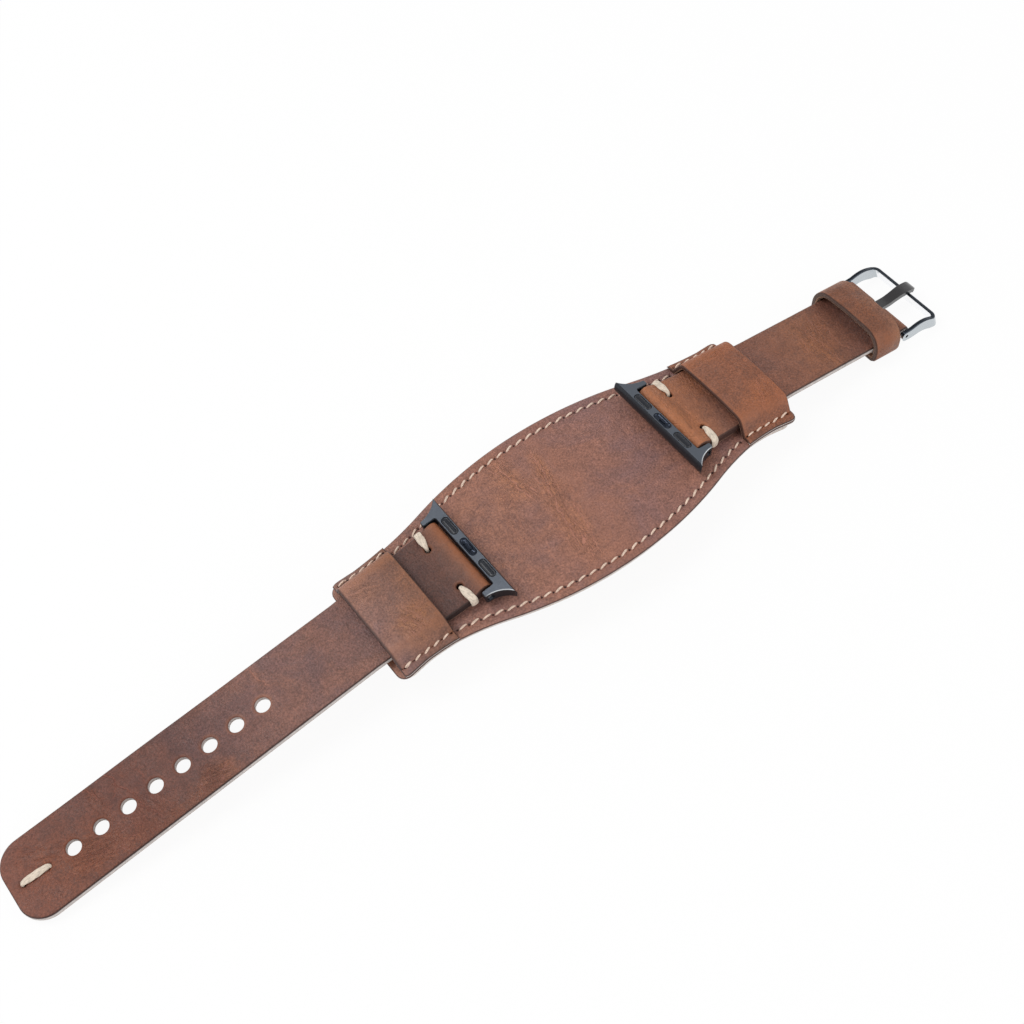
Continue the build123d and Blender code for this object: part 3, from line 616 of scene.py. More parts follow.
class Finish(Nodes):
    """A node material while it is put together."""

    def __init__(self, name):
        self.material = bpy.data.materials.new(name)
        self.material.use_nodes = True
        super().__init__(self.material.node_tree)
        self.shader = self.nodes["Principled BSDF"]
        self.place = self.add("ShaderNodeTexCoord").outputs["Object"]

    def noise(self, scale, detail=3.0, rough=0.55, place=None, warp=0.0):
        return self.add("ShaderNodeTexNoise", {
            "Vector": place or self.place, "Scale": scale, "Detail": detail, "Roughness": rough,
            "Distortion": warp}).outputs[0]

    def warped(self, place, scale, amount):
        """The place, shifted by a noise by up to about half the amount."""
        shift = self.add("ShaderNodeTexNoise", {"Vector": place, "Scale": scale, "Detail": 3.0})
        return self.add("ShaderNodeVectorMath", {0: shift.outputs[1], 1: (amount,) * 3, 2: place},
                        operation="MULTIPLY_ADD").outputs[0]

    def cells(self, scale, feature="F1", place=None):
        return self.add("ShaderNodeTexVoronoi", {"Vector": place or self.place, "Scale": scale},
                        feature=feature).outputs["Distance"]

    def spread(self, value, low, high, start=0.0, stop=1.0):
        """The value's rise from low to high, smoothly turned into one from start to stop."""
        return self.add("ShaderNodeMapRange", {0: value, 1: low, 2: high, 3: start, 4: stop},
                        interpolation_type="SMOOTHSTEP").outputs[0]

    def mix(self, share, first, second, blend="MIX"):
        return self.add("ShaderNodeMix", {0: share, 6: first, 7: second}, data_type="RGBA",
                        blend_type=blend).outputs[2]

    def times(self, colour, red, green, blue):
        return self.mix(1.0, colour, (red, green, blue, 1.0), "MULTIPLY")

    def mark(self, name, output="Fac"):
        return self.add("ShaderNodeAttribute", attribute_name=name).outputs[output]

    def part(self, vector, axis):
        return self.add("ShaderNodeSeparateXYZ", {0: vector}).outputs[axis]

    def ramp(self, value, stops):
        """Colours at places from 0 to 1, blended in between."""
        band = self.add("ShaderNodeValToRGB", {0: value})
        points = band.color_ramp.elements
        while len(points) < len(stops):
            points.new(0.5)
        for point, (place, colour) in zip(points, stops):
            point.position, point.color = place, colour
        return band.outputs[0]

    def scaled(self, place, scale, turn=0.0, move=(0, 0, 0)):
        return self.add("ShaderNodeMapping", {"Vector": place, "Scale": scale, "Location": move,
                                              "Rotation": (0, 0, turn)}).outputs[0]

    def bumped(self, *layers):
        """Chains bumps: each layer is a height and how deep it is, in metres."""
        normal = None
        for height, depth in layers:
            sockets = {"Height": height, "Distance": depth, "Strength": 1.0}
            if normal:
                sockets["Normal"] = normal
            normal = self.add("ShaderNodeBump", sockets).outputs[0]
        self.feed(self.shader.inputs["Normal"], normal)

    def done(self, colour, rough, **constants):
        """The material, with its colour, roughness and other constants given to the shader."""
        self.feed(self.shader.inputs["Base Color"], colour)
        self.feed(self.shader.inputs["Roughness"], rough)
        for key, value in constants.items():
            self.shader.inputs[key.replace("_", " ")].default_value = value
        return self.material


# Thread

STITCH_SOCKETS = {"Length": "Float", "Thread": "Float", "Rise": "Float", "Sink": "Float",
                  "Slant": "Float", "Seed": "Int", "Finish": "Material"}


def stitch_tree():
    """Nodes that set one small arched stitch, slanted a little, on every point they are given."""
    tree = bpy.data.node_groups.new("fine stitches", "GeometryNodeTree")
    for way in ("INPUT", "OUTPUT"):
        tree.interface.new_socket("Geometry", in_out=way, socket_type="NodeSocketGeometry")
    for label, kind in STITCH_SOCKETS.items():
        tree.interface.new_socket(label, in_out="INPUT", socket_type="NodeSocket" + kind)
    g = Nodes(tree)
    given = g.add("NodeGroupInput").outputs
    half = g.product(given["Length"], 0.5)
    sink = g.product(given["Sink"], -1.0)
    ends = [g.add("ShaderNodeCombineXYZ", {0: g.product(half, way), 2: sink}).outputs[0]
            for way in (-1.0, 1.0)]
    crown = g.add("ShaderNodeCombineXYZ", {2: given["Rise"]}).outputs[0]
    line = g.add("GeometryNodeCurveQuadraticBezier", {
        "Resolution": 7, "Start": ends[0], "Middle": crown, "End": ends[1]}).outputs[0]
    along = g.add("GeometryNodeSplineParameter").outputs["Factor"]
    power = g.maths("POWER", g.size_of(g.maths("MULTIPLY_ADD", along, 2.0, -1.0)), 4.0)
    swell = g.maths("SQRT", g.maths("SUBTRACT", 1.12, power))
    section = g.add("GeometryNodeCurvePrimitiveCircle", {
        "Resolution": 7, "Radius": g.product(given["Thread"], 0.5)}).outputs[0]
    tube = g.add("GeometryNodeCurveToMesh", {
        "Curve": line, "Profile Curve": section, "Scale": swell, "Fill Caps": True}).outputs[0]
    way, up = [g.add("GeometryNodeInputNamedAttribute", {"Name": name},
                     data_type="FLOAT_VECTOR").outputs[0] for name in ("way", "up")]
    turn = g.add("FunctionNodeAxesToRotation", {"Primary Axis": up, "Secondary Axis": way},
                 primary_axis="Z", secondary_axis="X").outputs[0]
    sway, size = [g.add("FunctionNodeRandomValue", {2: least, 3: most, "Seed": given["Seed"]}).outputs[1]
                  for least, most in ((-0.09, 0.09), (0.93, 1.07))]
    slant = g.add("ShaderNodeCombineXYZ", {2: g.plus(given["Slant"], sway)}).outputs[0]
    slanted = g.add("FunctionNodeRotateRotation", {0: turn, 1: slant},
                    rotation_space="LOCAL").outputs[0]
    placed = g.add("GeometryNodeInstanceOnPoints", {
        "Points": given["Geometry"], "Instance": tube, "Rotation": slanted, "Scale": size})
    real = g.add("GeometryNodeRealizeInstances", {0: placed.outputs[0]})
    smooth = g.add("GeometryNodeSetShadeSmooth", {0: real.outputs[0]})
    painted = g.add("GeometryNodeSetMaterial", {"Geometry": smooth.outputs[0],
                                                "Material": given["Finish"]})
    g.add("NodeGroupOutput", {0: painted.outputs[0]})
    return tree


STITCH_TREE = stitch_tree()


def seam_along(line, place, height, pitch=SEAM_PITCH):
    """Stitch middles along a line of the plan with their ways and ups, and the awl holes' dents."""
    reach = reach_along(line)
    count = max(1, round(reach[-1] / pitch))

    def at(shares):
        return along_path(line, reach, shares / count * reach[-1]).T

    middles, ahead = at(np.arange(count) + 0.5), at(np.arange(count) + 0.52)
    high = height(*middles)
    spots = place(*middles, high)
    ways, ups = place(*ahead, high) - spots, place(*middles, high + 1) - spots
    pits = [(s, t, AWL_RADIUS, AWL_DEPTH) for s, t in at(np.arange(count + 1)).T]
    return (spots, unit(ways), unit(ups)), pits


def fine_seam(name, runs, finish, body, slant, seed):
    """All the fine stitches of one body as one piece."""
    spots, ways, ups = [np.concatenate(parts) for parts in zip(*runs)]
    mesh = bpy.data.meshes.new(name + "_places")
    mesh.from_pydata(spots.tolist(), [], [])
    set_mark(mesh, "way", ways)
    set_mark(mesh, "up", ups)
    places = linked(name + "_places", mesh)
    setter = places.modifiers.new("stitches", "NODES")
    setter.node_group = STITCH_TREE
    values = {"Length": FINE_STITCH * MM, "Thread": FINE_THREAD * MM, "Rise": FINE_RISE * MM,
              "Sink": FINE_SINK * MM, "Slant": slant, "Seed": seed, "Finish": finish}
    for item in STITCH_TREE.interface.items_tree:
        if item.name in values:
            setter[item.identifier] = values[item.name]
    made = places.evaluated_get(bpy.context.evaluated_depsgraph_get())
    mesh = bpy.data.meshes.new_from_object(made)
    bpy.data.objects.remove(places)
    settle(finished(name, mesh), finish, body, "waxed_thread")


def thread_route(path):
    """Even places round a closed path, its points there smoothed, and its length."""
    closed = np.concatenate([path, path[:1]])
    reach = reach_along(closed)
    count = ceil(reach[-1] / THREAD_STEP)
    places = np.arange(count) / count * reach[-1]
    points = along_path(closed, reach, places)
    for _ in range(3):
        points = (np.roll(points, 1, 0) + 2 * points + np.roll(points, -1, 0)) / 4
    return places, points, reach[-1]


def thick_thread(name, loops, place, finish, body, node, width_at):
    """Closed loops of thick twisted thread. Each loop is a path (along, across, up) and a side way."""
    verts, faces, strands = [], [], []
    angle = np.linspace(0, 2 * pi, THREAD_SIDES, endpoint=False)
    for path, side_way in loops:
        places, points, length = thread_route(path)
        tangent = unit(np.roll(points, -1, 0) - np.roll(points, 1, 0))
        wide = np.array(side_way, float)
        wide = unit(wide - (tangent * wide).sum(1)[:, None] * tangent)
        thin = np.cross(tangent, wide)
        phase = places / length * 2 * pi * round(length / THREAD_TURN)
        lobes = 1 + 0.04 * np.cos(THREAD_PLIES * angle[None] - phase[:, None] * THREAD_PLIES)
        across = np.cos(angle)[None] * lobes * width_at(points)[:, None] / 2
        over = np.sin(angle)[None] * lobes * THICK_HEIGHT / 2
        ring = points[:, None] + across[..., None] * wide[:, None] + over[..., None] * thin[:, None]
        first, count = len(verts), len(points)
        verts += place(*ring.reshape(-1, 3).T).tolist()
        round_it = np.sin(angle / 2)[None] * 2.4 + places[:, None] * 0.1
        strands.append(np.stack([round_it.ravel(), np.repeat(places, THREAD_SIDES) * 0.35], -1))
        for k in range(count):
            near, far = [first + m % count * THREAD_SIDES for m in (k, k + 1)]
            for m in range(THREAD_SIDES):
                after = (m + 1) % THREAD_SIDES
                faces.append([near + m, near + after, far + after, far + m])
    mesh = bpy.data.meshes.new(name)
    mesh.from_pydata(verts, [], faces)
    set_mark(mesh, "strands", np.pad(np.concatenate(strands), ((0, 0), (0, 1))))
    settle(finished(name, mesh), finish, body, "waxed_thread", node)


# Finishes

def tint(red, green, blue):
    """A colour as seen, turned into light."""
    def light(value):
        value /= 255
        return value / 12.92 if value <= 0.04045 else ((value + 0.055) / 1.055) ** 2.4
    return light(red), light(green), light(blue), 1.0


def dimmed(colour, share):
    """The colour with only a share of its light."""
    return tuple(part * share for part in colour[:3]) + (1.0,)


class Leather(Finish):
    """The finish of a piece of leather, while its creases and orange patches gather on its plan."""

    def __init__(self, name, shift):
        super().__init__(name)
        self.skin = self.scaled(self.place, (1, 1, 1), move=(shift, shift * 0.7, 0))
        self.plan = self.add("ShaderNodeUVMap", uv_map="plan").outputs[0]
        self.mottle = self.noise(MOTTLE_SCALE, 5, 0.7, self.skin)
        self.speck = self.noise(SPECK_SCALE, 4, 0.72, self.skin)
        self.crease = self.patch = 0.0

    def spot(self, along, across, turn=0.0):
        """The plan turned about a spot, and the ways from it along and across in millimetres."""
        local = self.scaled(self.plan, (1, 1, 1), turn)
        spot = Matrix.Rotation(turn, 2) @ Vector((along * PLAN_SCALE, across * PLAN_SCALE))
        return local, [self.product(self.maths("SUBTRACT", self.part(local, k), spot[k]),
                                    1 / PLAN_SCALE) for k in (0, 1)]

    def fading(self, over, down, strength):
        """The strength at a spot, which fades as either of the two distances grows."""
        away = self.product(self.plus(over, down), -1.0)
        return self.product(self.maths("POWER", EULER, away), strength)

    def gather(self, crease, patch):
        self.crease, self.patch = self.plus(self.crease, crease), self.plus(self.patch, patch)

    def add_bundle(self, along, across, width, length, turn, strength):
        """A bundle of pale creases where the leather was folded, in a patch that is pulled orange."""
        local, (over, down) = self.spot(along, across, turn)
        over, down = self.maths("DIVIDE", over, width), self.maths("DIVIDE", down, length)
        fade = self.fading(self.product(over, over), self.maths("POWER", self.size_of(down), 4.0),
                           strength)
        threads = self.noise(1.0, 5, 0.76, self.scaled(local, (150, 20, 1)), 1.1)
        self.gather(self.product(self.spread(threads, 0.5, 0.62), fade),
                    self.product(fade, self.spread(self.mottle, 0.3, 0.62, 0.5, 1.0)))

    def add_zone(self, net, along, across, length, width, strength):
        """An orange zone with a net of fine cracks."""
        _, (over, down) = self.spot(along, across)
        over, down = self.maths("DIVIDE", over, length), self.maths("DIVIDE", down, width)
        fade = self.fading(self.product(over, over), self.product(down, down), strength)
        self.gather(self.product(net, self.product(fade, 0.7)),
                    self.product(fade, self.spread(self.mottle, 0.34, 0.6, 0.4, 1.0)))

    def add_line(self, along, across, length, turn, strength):
        """A single pale line that wanders across the leather."""
        local, (over, down) = self.spot(along, across, turn)
        sway = self.noise(1.0, 5, 0.62, self.scaled(local, (3, 22, 1), move=(along, 0, 0)))
        sway = self.product(self.maths("SUBTRACT", sway, 0.5), 5.0)
        over, down = self.size_of(self.plus(over, sway)), self.size_of(down)
        line = self.product(self.spread(over, 0.06, 0.3, 1.0, 0.0),
                            self.spread(down, length * 0.75, length, strength, 0.0))
        self.gather(self.product(line, self.spread(self.speck, 0.3, 0.5, 0.35, 1.0)),
                    self.product(self.spread(over, 0.3, 1.6, 0.45, 0.0),
                                 self.spread(down, 0.0, length, strength, 0.0)))


def oiled_leather(name, hues, wall, creases=(), lines=(), zones=(), shift=0.0,
                  flesh=tint(168, 132, 110)):
    """Oiled leather that turns lighter and more orange where it is bent, scratched or creased.

    hues are colours at places along it, creases are bundles (along, across, half width, half
    length, turn, strength) on the plan, lines are single folds (along, across, half length, turn,
    strength), and zones are orange and finely cracked (along, across, half length, half width,
    strength)."""
    f = Leather(name, shift)
    for bundle in creases:
        f.add_bundle(*bundle)
    cracks = f.cells(CRACK_SCALE, "DISTANCE_TO_EDGE", f.warped(f.skin, 600, 0.0008))
    net = f.product(f.spread(cracks, 0.03, 0.11, 1.0, 0.0), f.spread(f.mottle, 0.4, 0.6, 0.1, 1.0))
    for zone in zones:
        f.add_zone(net, *zone)
    for line in lines:
        f.add_line(*line)

    # The colour of the hide, its blotches and its pull-up
    share = f.add("ShaderNodeMapRange", {0: f.part(f.plan, 0), 1: HUE_START * PLAN_SCALE,
                                         2: HUE_STOP * PLAN_SCALE}).outputs[0]
    base = f.ramp(share, [((place - HUE_START) / (HUE_STOP - HUE_START), tint(*hue))
                          for place, hue in hues])
    blotch = f.spread(f.noise(BLOTCH_SCALE, 5, 0.66, f.skin, 0.6), 0.34, 0.66)
    colour = f.mix(blotch, f.times(base, *DEEP), f.times(base, *WARM))
    pale, orange = f.times(base, *PALE), f.times(base, *ORANGE)
    colour = f.mix(f.product(f.patch, 0.85, clamp=True), colour, orange)

    # Its grain, wrinkles, creases and fine wandering scratches, only here and there
    for grain, low, high in ((f.speck, 0.7, 1.34), (f.mottle, 0.88, 1.13)):
        colour = f.mix(1.0, colour, f.spread(grain, 0.32, 0.68, low, high), "MULTIPLY")
    pebble = f.cells(SPECK_SCALE, place=f.warped(f.skin, 1500, 0.0003))
    wrinkle = f.noise(1.0, 4, 0.7, f.scaled(f.skin, WRINKLE_SCALES, 0.6), 0.5)
    long_marks = f.noise(1.0, 3, 0.7, f.scaled(f.skin, SCRATCH_SCALES, 0.5))
    scratches = f.product(f.spread(long_marks, 0.64, 0.7),
                          f.spread(f.noise(SCUFF_SCALE, 2, 0.5, f.skin), 0.46, 0.58))
    colour = f.mix(f.spread(pebble, 0.5, 0.85, 0.0, 0.3), colour, f.times(base, *PORES))
    colour = f.mix(f.spread(wrinkle, 0.58, 0.68, 0.0, 0.3), colour, pale)
    pulled = f.product(f.mark("bend"), f.spread(f.mottle, 0.3, 0.6, 0.5, 1.0))
    colour = f.mix(pulled, colour, f.mix(0.35, orange, pale))
    colour = f.mix(f.product(f.crease, 1.05, clamp=True), colour, pale)
    colour = f.mix(f.product(scratches, 0.5), colour, pale)

    # Its burnished edges (widened into painted shade at the tail bridge's outer end), its awl holes
    # darkened with painted shade, its cut walls (darkened with painted shade in places) and its flesh side
    walls, under = f.mark("wall"), f.mark("flesh")
    colour = f.mix(f.spread(f.mark("inset"), 0.06, 0.3, 0.9, 0.0), colour, f.times(base, *BURNT))
    # Awl holes darkened: painted shade for their depth
    colour = f.mix(f.spread(f.mark("pricked"), 0.25, 0.7), colour, f.times(base, *AWL_HOLE_SHADE))
    fibres = f.noise(1.0, 4, 0.7, f.scaled(f.place, FIBRE_SCALES))
    raw = f.mix(f.spread(fibres, 0.3, 0.7), dimmed(wall, 0.7), wall)
    # Marked cut walls are darkened: painted shade
    raw = f.mix(f.mark("wall_shade"), raw, f.times(base, *SHADED_WALL))
    nap = f.mix(f.noise(NAP_SCALE, 4, 0.7), flesh, dimmed(flesh, 0.7))
    colour = f.mix(under, f.mix(walls, colour, raw), nap)
    rough = f.spread(f.noise(SHEEN_SCALE, 4, 0.6), 0.3, 0.7, 0.42, 0.58)
    rough = f.plus(rough, f.product(f.plus(walls, under), 0.25), clamp=True)
    f.bumped((pebble, -0.00008), (f.speck, 0.0001), (wrinkle, -0.00005), (f.crease, -0.00012),
             (fibres, 0.00004))
    return f.done(colour, rough, Specular_IOR_Level=0.45)


def waxed_thread(name, colour, scale, strands=False):
    """Pale waxed thread with its plies and a little soil, or with long strands side by side."""
    f = Finish(name)
    plies = f.noise(scale, 3, 0.6, f.mark("strands", "Vector") if strands else None)
    dark = dimmed(colour, 0.5)
    shade = f.mix(f.spread(plies, 0.36, 0.56, 0.55, 0.0), colour, dark)
    shade = f.mix(f.spread(f.noise(420, 3, 0.6), 0.5, 0.8, 0.0, 0.35), shade, dark)
    f.bumped((plies, 0.00008))
    return f.done(shade, f.spread(plies, 0.2, 0.8, 0.5, 0.75), Specular_IOR_Level=0.35,
                  Sheen_Weight=0.15)


def satin_metal(name, colour, rough, metallic, wear, grain=0.00001, side=None, glint=None,
                upper=(0.85, 0.95), gloss=0.0, front_reflection=None):
    """Coated or bare metal with a fine grain, faint smudges and lighter worn spots.

    side is the colour of the faces that don't look up, painted shade or a painted reflection set
    against the top's colour; the front reflection colour is that of those of them that look along
    the strap, a painted reflection; the glint colour is that of slanted faces at the near ends, a
    painted highlight; and gloss is how much clear lacquer lies on it."""
    f = Finish(name)
    smudge, fine = f.noise(160, 4, 0.6), f.noise(9000, 2, 0.6)
    # Faces that look up take the top colour and the others the side colour: painted shade on the adapters and
    # tongue, painted reflection on the buckle's frame
    facing = f.spread(f.mark("facing"), *upper)
    if front_reflection:
        side = f.mix(f.spread(f.mark("sideways"), 0.3, 0.6), front_reflection, side)
    shade = f.mix(facing, side, colour) if side else colour
    # A painted highlight on the slanted faces at the near ends
    if glint:
        end = f.spread(f.product(f.part(f.place, 1), -1.0), *GLINT_END)
        slanted = f.product(f.spread(f.mark("facing"), 0.3, 0.4),
                            f.spread(f.mark("sideways"), 0.2, 0.3))
        slanted = f.product(slanted, f.maths("SUBTRACT", 1.0, facing))
        shade = f.mix(f.product(slanted, end), shade, glint)
    worn = f.times(shade, wear, wear, wear)
    shade = f.mix(f.spread(smudge, 0.52, 0.75, 0.0, 0.5), shade, worn)
    shade = f.mix(f.spread(fine, 0.35, 0.7, 0.0, 0.25), shade, worn)
    f.bumped((fine, grain))
    return f.done(shade, f.spread(smudge, 0.3, 0.7, rough * 0.85, rough * 1.2), Metallic=metallic,
                  Coat_Weight=gloss, Coat_Roughness=0.08)


def moulded_rubber(name):
    """Near black rubber with a smooth skin that shines a little."""
    f = Finish(name)
    skin = f.noise(900, 3, 0.6)
    dust = f.spread(f.noise(260, 3, 0.7), 0.5, 0.8, 0.0, 0.6)
    f.bumped((skin, 0.00001))
    return f.done(f.mix(dust, tint(25, 28, 36), tint(38, 43, 52)),
                  f.spread(skin, 0.3, 0.7, 0.2, 0.3), Specular_IOR_Level=0.5)


RAW, CUT = tint(214, 206, 202), tint(98, 78, 70)
BROWN = {
    "pad": oiled_leather(
        "pad_leather",
        [(-50, (144, 104, 92)), (-25, (144, 103, 92)), (0, (138, 97, 87)),
         (20, (141, 101, 93)), (50, (138, 98, 88))],
        tint(232, 224, 220), shift=0.0,
        creases=((-3.5, -5, 3.5, 12, 0.2, 1.0), (-7, 10, 3, 7, -0.12, 1.0),
                 (-0.5, 9, 1.8, 6, 0.2, 0.9), (-12, 3, 3, 9, 0.25, 0.5), (-19, 0, 5, 14, 0.1, 0.4),
                 (24, -12, 4, 5, 0.7, 0.3)),
        lines=((-0.6, 9, 5.5, 0.2, 0.8), (-7, 10, 6, -0.12, 0.8), (-4.2, -4, 9, 0.22, 0.8),
               (-1.8, -8, 8, 0.25, 0.6), (-11, -11, 5, 0.1, 0.4))),
    # The tail strap's darkest hues, from -13 to -6 mm between its adapter and its bridge, are painted shade
    "tail": oiled_leather(
        "tail_leather",
        [(-17, (122, 78, 57)), (-13, (92, 61, 54)), (-6, (80, 51, 45)),
         (6, (121, 86, 79)), (30, (124, 87, 79)), (48, (100, 65, 58)), (62, (95, 58, 51)),
         (78, (106, 64, 52)), (90, (109, 68, 59))],
        RAW, shift=0.31,
        zones=((46.5, -7.3, 6, 2.6, 1.5), (57, -8, 7, 2.4, 1.1), (66, -6, 7, 3.8, 1.1),
               (75, -3, 7, 5, 1.1), (86, -2, 6, 7, 0.6), (60, 7, 4, 2, 0.6)),
        creases=((73.4, -3, 4, 5, 1.2, 0.8), (46.7, -6.5, 3, 3, 1.2, 0.9), (60, -4, 4, 5, 0.4, 0.5),
                 (82, 3, 3, 6, 1.0, 0.5), (68, 5, 1.5, 5, 0.1, 0.5)),
        lines=((61.6, 1.5, 9.5, 0.3, 1.0), (58.5, 4, 2.6, 0.0, 0.7), (67.5, 6.5, 2.8, 0.4, 0.8),
               (63.6, 4.8, 2.2, -0.5, 0.6), (29.2, 5.5, 3.5, 0.2, 0.7), (57.6, -3.6, 3, 0.5, 0.5))),
    # The buckle strap's darker hue at 33 mm, at the keeper's edge, is the keeper's shadow painted in
    "buckle": oiled_leather(
        "buckle_leather",
        [(-17, (142, 94, 70)), (-8, (124, 83, 68)), (8, (122, 80, 66)),
         (22, (121, 81, 66)), (33, (105, 70, 61)), (44, (114, 75, 61))],
        RAW, shift=0.57,
        zones=((20, -3, 6, 6, 0.7), (29, 3, 4, 6, 0.8), (-15, -3, 3, 5, 1.0), (-9, 6, 4, 3, 0.8)),
        creases=((24, 0, 3.5, 9, -0.05, 0.9), (-15, 0, 2.2, 9, 0.05, 0.8), (-8, 1, 4, 8, 0.3, 0.4)),
        lines=((24.2, -0.5, 9, 0.0, 0.9), (21, -0.6, 4.5, 0.0, 0.7), (28, 0, 8, -0.12, 0.8),
               (-16.2, 3, 3.2, 0.4, 0.9), (-17.4, -5, 5, -0.1, 0.8), (-6, 3, 5.4, -0.26, 0.8),
               (-13, -2, 4, 0.2, 0.5))),
    # Each bridge's long thin zone along its far ridge, across 8.2 mm, is pull-up and partly a painted highlight
    # where that ridge faces the light
    "tail_bridge": oiled_leather(
        "tail_bridge_leather", [(-6, (120, 82, 66)), (6, (133, 99, 93))], RAW, shift=0.83,
        zones=((-3, -6.5, 5, 4, 1.3), (2, 8.2, 9, 1.0, 1.2), (-5, 2, 2, 3, 0.6)),
        creases=((0, -7, 3, 3, 0.4, 0.8), (3, 5, 3, 4, 1.2, 0.5)),
        lines=((3, 6, 4, 1.2, 0.5), (-2, -5, 4, 0.4, 0.5))),
    "buckle_bridge": oiled_leather(
        "buckle_bridge_leather", [(-6, (130, 83, 63)), (6, (127, 79, 59))], RAW, shift=1.13,
        zones=((2, -7, 6, 3, 1.2), (0, 8.2, 9, 1.2, 1.2), (4, 2, 3, 4, 0.7)),
        creases=((1, 8, 1.4, 6, 1.4, 0.7), (3, -6, 3, 4, 0.3, 0.5)),
        lines=((1, 7.2, 5.6, 1.45, 0.9), (2, -6, 3.5, 0.3, 0.5))),
    "keeper": oiled_leather(
        "keeper_leather", [(0, (117, 73, 53))], CUT, shift=1.37,
        creases=((0.5, 21, 2, 3, 0.9, 0.6),)),
}
LINING = oiled_leather("lining_leather", [(0, (190, 152, 124))], tint(226, 214, 206), shift=0.2,
                       flesh=tint(186, 150, 122))
FINE_WAXED = waxed_thread("fine_waxed_thread", tint(238, 210, 190), 2600)
THICK_WAXED = waxed_thread("thick_waxed_thread", tint(232, 216, 197), 2.6, strands=True)


# Pad

def pad_loop(setback=0.0):
    """Outline of the pad in plan, or of a layer set back under its edge."""
    corner = PAD_HALF_LENGTH - PAD_CORNER_RADIUS
    turn = np.sin(np.linspace(0, pi / 2, 7)) * PAD_CORNER_RADIUS + corner
    x = np.concatenate([-turn[::-1], np.linspace(-corner, corner, 150)[1:-1], turn])
    shorter = x * (1 - setback / PAD_HALF_LENGTH)
    near = np.stack([shorter, setback - pad_edge(x, -1)], -1)
    far = np.stack([shorter, pad_edge(x, 1) - setback], -1)[::-1]
    return joined(near, run(near[-1], far[0]), far, run(far[-1], near[0]))


def pad_top(s, t, away):
    """Height of the pad's top: a little uneven, and drawn down along the seam."""
    side_away = pad_edge(s, t) - np.abs(t)
    open_top = smooth_step(FLANGE_START - np.abs(s), -0.3, 0.6)
    groove = PAD_GROOVE * bump(side_away, SEAM_INSET, 0.55) * open_top
    folds = 0.05 * np.sin(s * 2.1 + np.sin(t * 0.5) * 1.4) * bump(s, 1, 6) * bump(t, 0, 13)
    return ripple(s, t, 3, 26, 0.09) - groove + folds


def pad_under(s, t, away):
    """Under side of the pad's top leather, pared thin along its edge."""
    return PAD_EDGE_SKIVE * (1 - smooth_step(away, 0, 1.1)) - PAD_TOP_THICKNESS


def level(height, seed=None):
    """A flat face, with a little unevenness where a seed is given."""
    def at(s, t, away):
        return height + (0 * s if seed is None else ripple(s, t, seed, 18, 0.05))
    return at


def above(surface, lift=STITCH_LIFT):
    """Height of stitches on a face, far from its edges."""
    return lambda s, t: surface(s, t, np.full_like(s, 9.0)) + lift


def pad_leathers():
    """The pad's two layers; returns the runs of stitches along its open sides."""
    runs, pits = [], []
    x = np.linspace(0.7 - FLANGE_START, FLANGE_START - 0.7, 160)
    for way in (-1, 1):
        line = np.stack([x, way * (pad_edge(x, way) - SEAM_INSET)], -1)
        stitches, dents = seam_along(line, on_pad, above(pad_top))
        runs.append(stitches)
        pits += dents
    top = cut_leather("pad_top_hide", pad_loop(), pad_top, pad_under, on_pad, pits=pits, rim=0.5,
                      rings=(1.2, 1.7, 2.05, 2.55, 2.9, 3.4),
                      bend=lambda s, t: 0.25 * bump(s, 1, 7) + 0.35 * smooth_step(np.abs(s), 47, 51))
    settle(top, BROWN["pad"], "pad", "brown_leather", "pad_top_leather")
    lining = cut_leather("pad_lining_hide", pad_loop(LINING_SETBACK), level(-PAD_TOP_THICKNESS),
                         level(-PAD_TOP_THICKNESS - PAD_LINING_THICKNESS, 8), on_pad, rim=0.3,
                         spacing=2.2, bulge=0.1)
    settle(lining, LINING, "pad", "lining_leather", "pad_lining")
    return runs


# Bridges

def bent_strip(path, closed=False):
    """Bends a flat strip along a path across a strap: returns the path's length and a place."""
    reach = reach_along(path)
    tangent = np.gradient(path, axis=0)
    if closed:
        tangent[0] = tangent[-1] = path[1] - path[-2]
    tangent = unit(tangent)
    normal = np.stack([-tangent[:, 1], tangent[:, 0]], -1)

    def place(q, h):
        return (along_path(path, reach, q) + along_path(normal, reach, q) * h[..., None]).T
    return reach, place


def bend_places(path, reaches, least=2.0):
    """How far along a path it turns by more than the least angle in degrees."""
    ways = np.diff(path, axis=0)
    angles = np.unwrap(np.arctan2(ways[:, 1], ways[:, 0]))
    return reaches[1:-1][np.abs(np.diff(angles)) > radians(least)]


def bridge_path():
    """Under side of a bridge, from its crown's middle down its sloping side and out over the pad."""
    slope = radians(BRIDGE_SLOPE)
    shoulder = arc((BRIDGE_SHOULDER_PLACE, BRIDGE_SHOULDER_UP), BRIDGE_SHOULDER, pi / 2 - 0.06,
                   pi / 2 - slope, BEND_STEP)
    t = np.linspace(0, shoulder[0, 0], 24)
    drop = BRIDGE_CROWN - shoulder[0, 1]
    crown = np.stack([t, BRIDGE_CROWN - drop * (t / t[-1]) ** 2], -1)
    foot = shoulder[-1, 0] + shoulder[-1, 1] / tan(slope) + BRIDGE_FOOT_BEND * tan(slope / 2)
    bend = arc((foot, BRIDGE_FOOT_BEND), BRIDGE_FOOT_BEND, 1.5 * pi - slope, 1.5 * pi, BEND_STEP)
    return joined(crown, shoulder, run(shoulder[-1], bend[0]), bend,
                  run(bend[-1], (PAD_MIDDLE_HALF_WIDTH, 0)), closed=False), foot


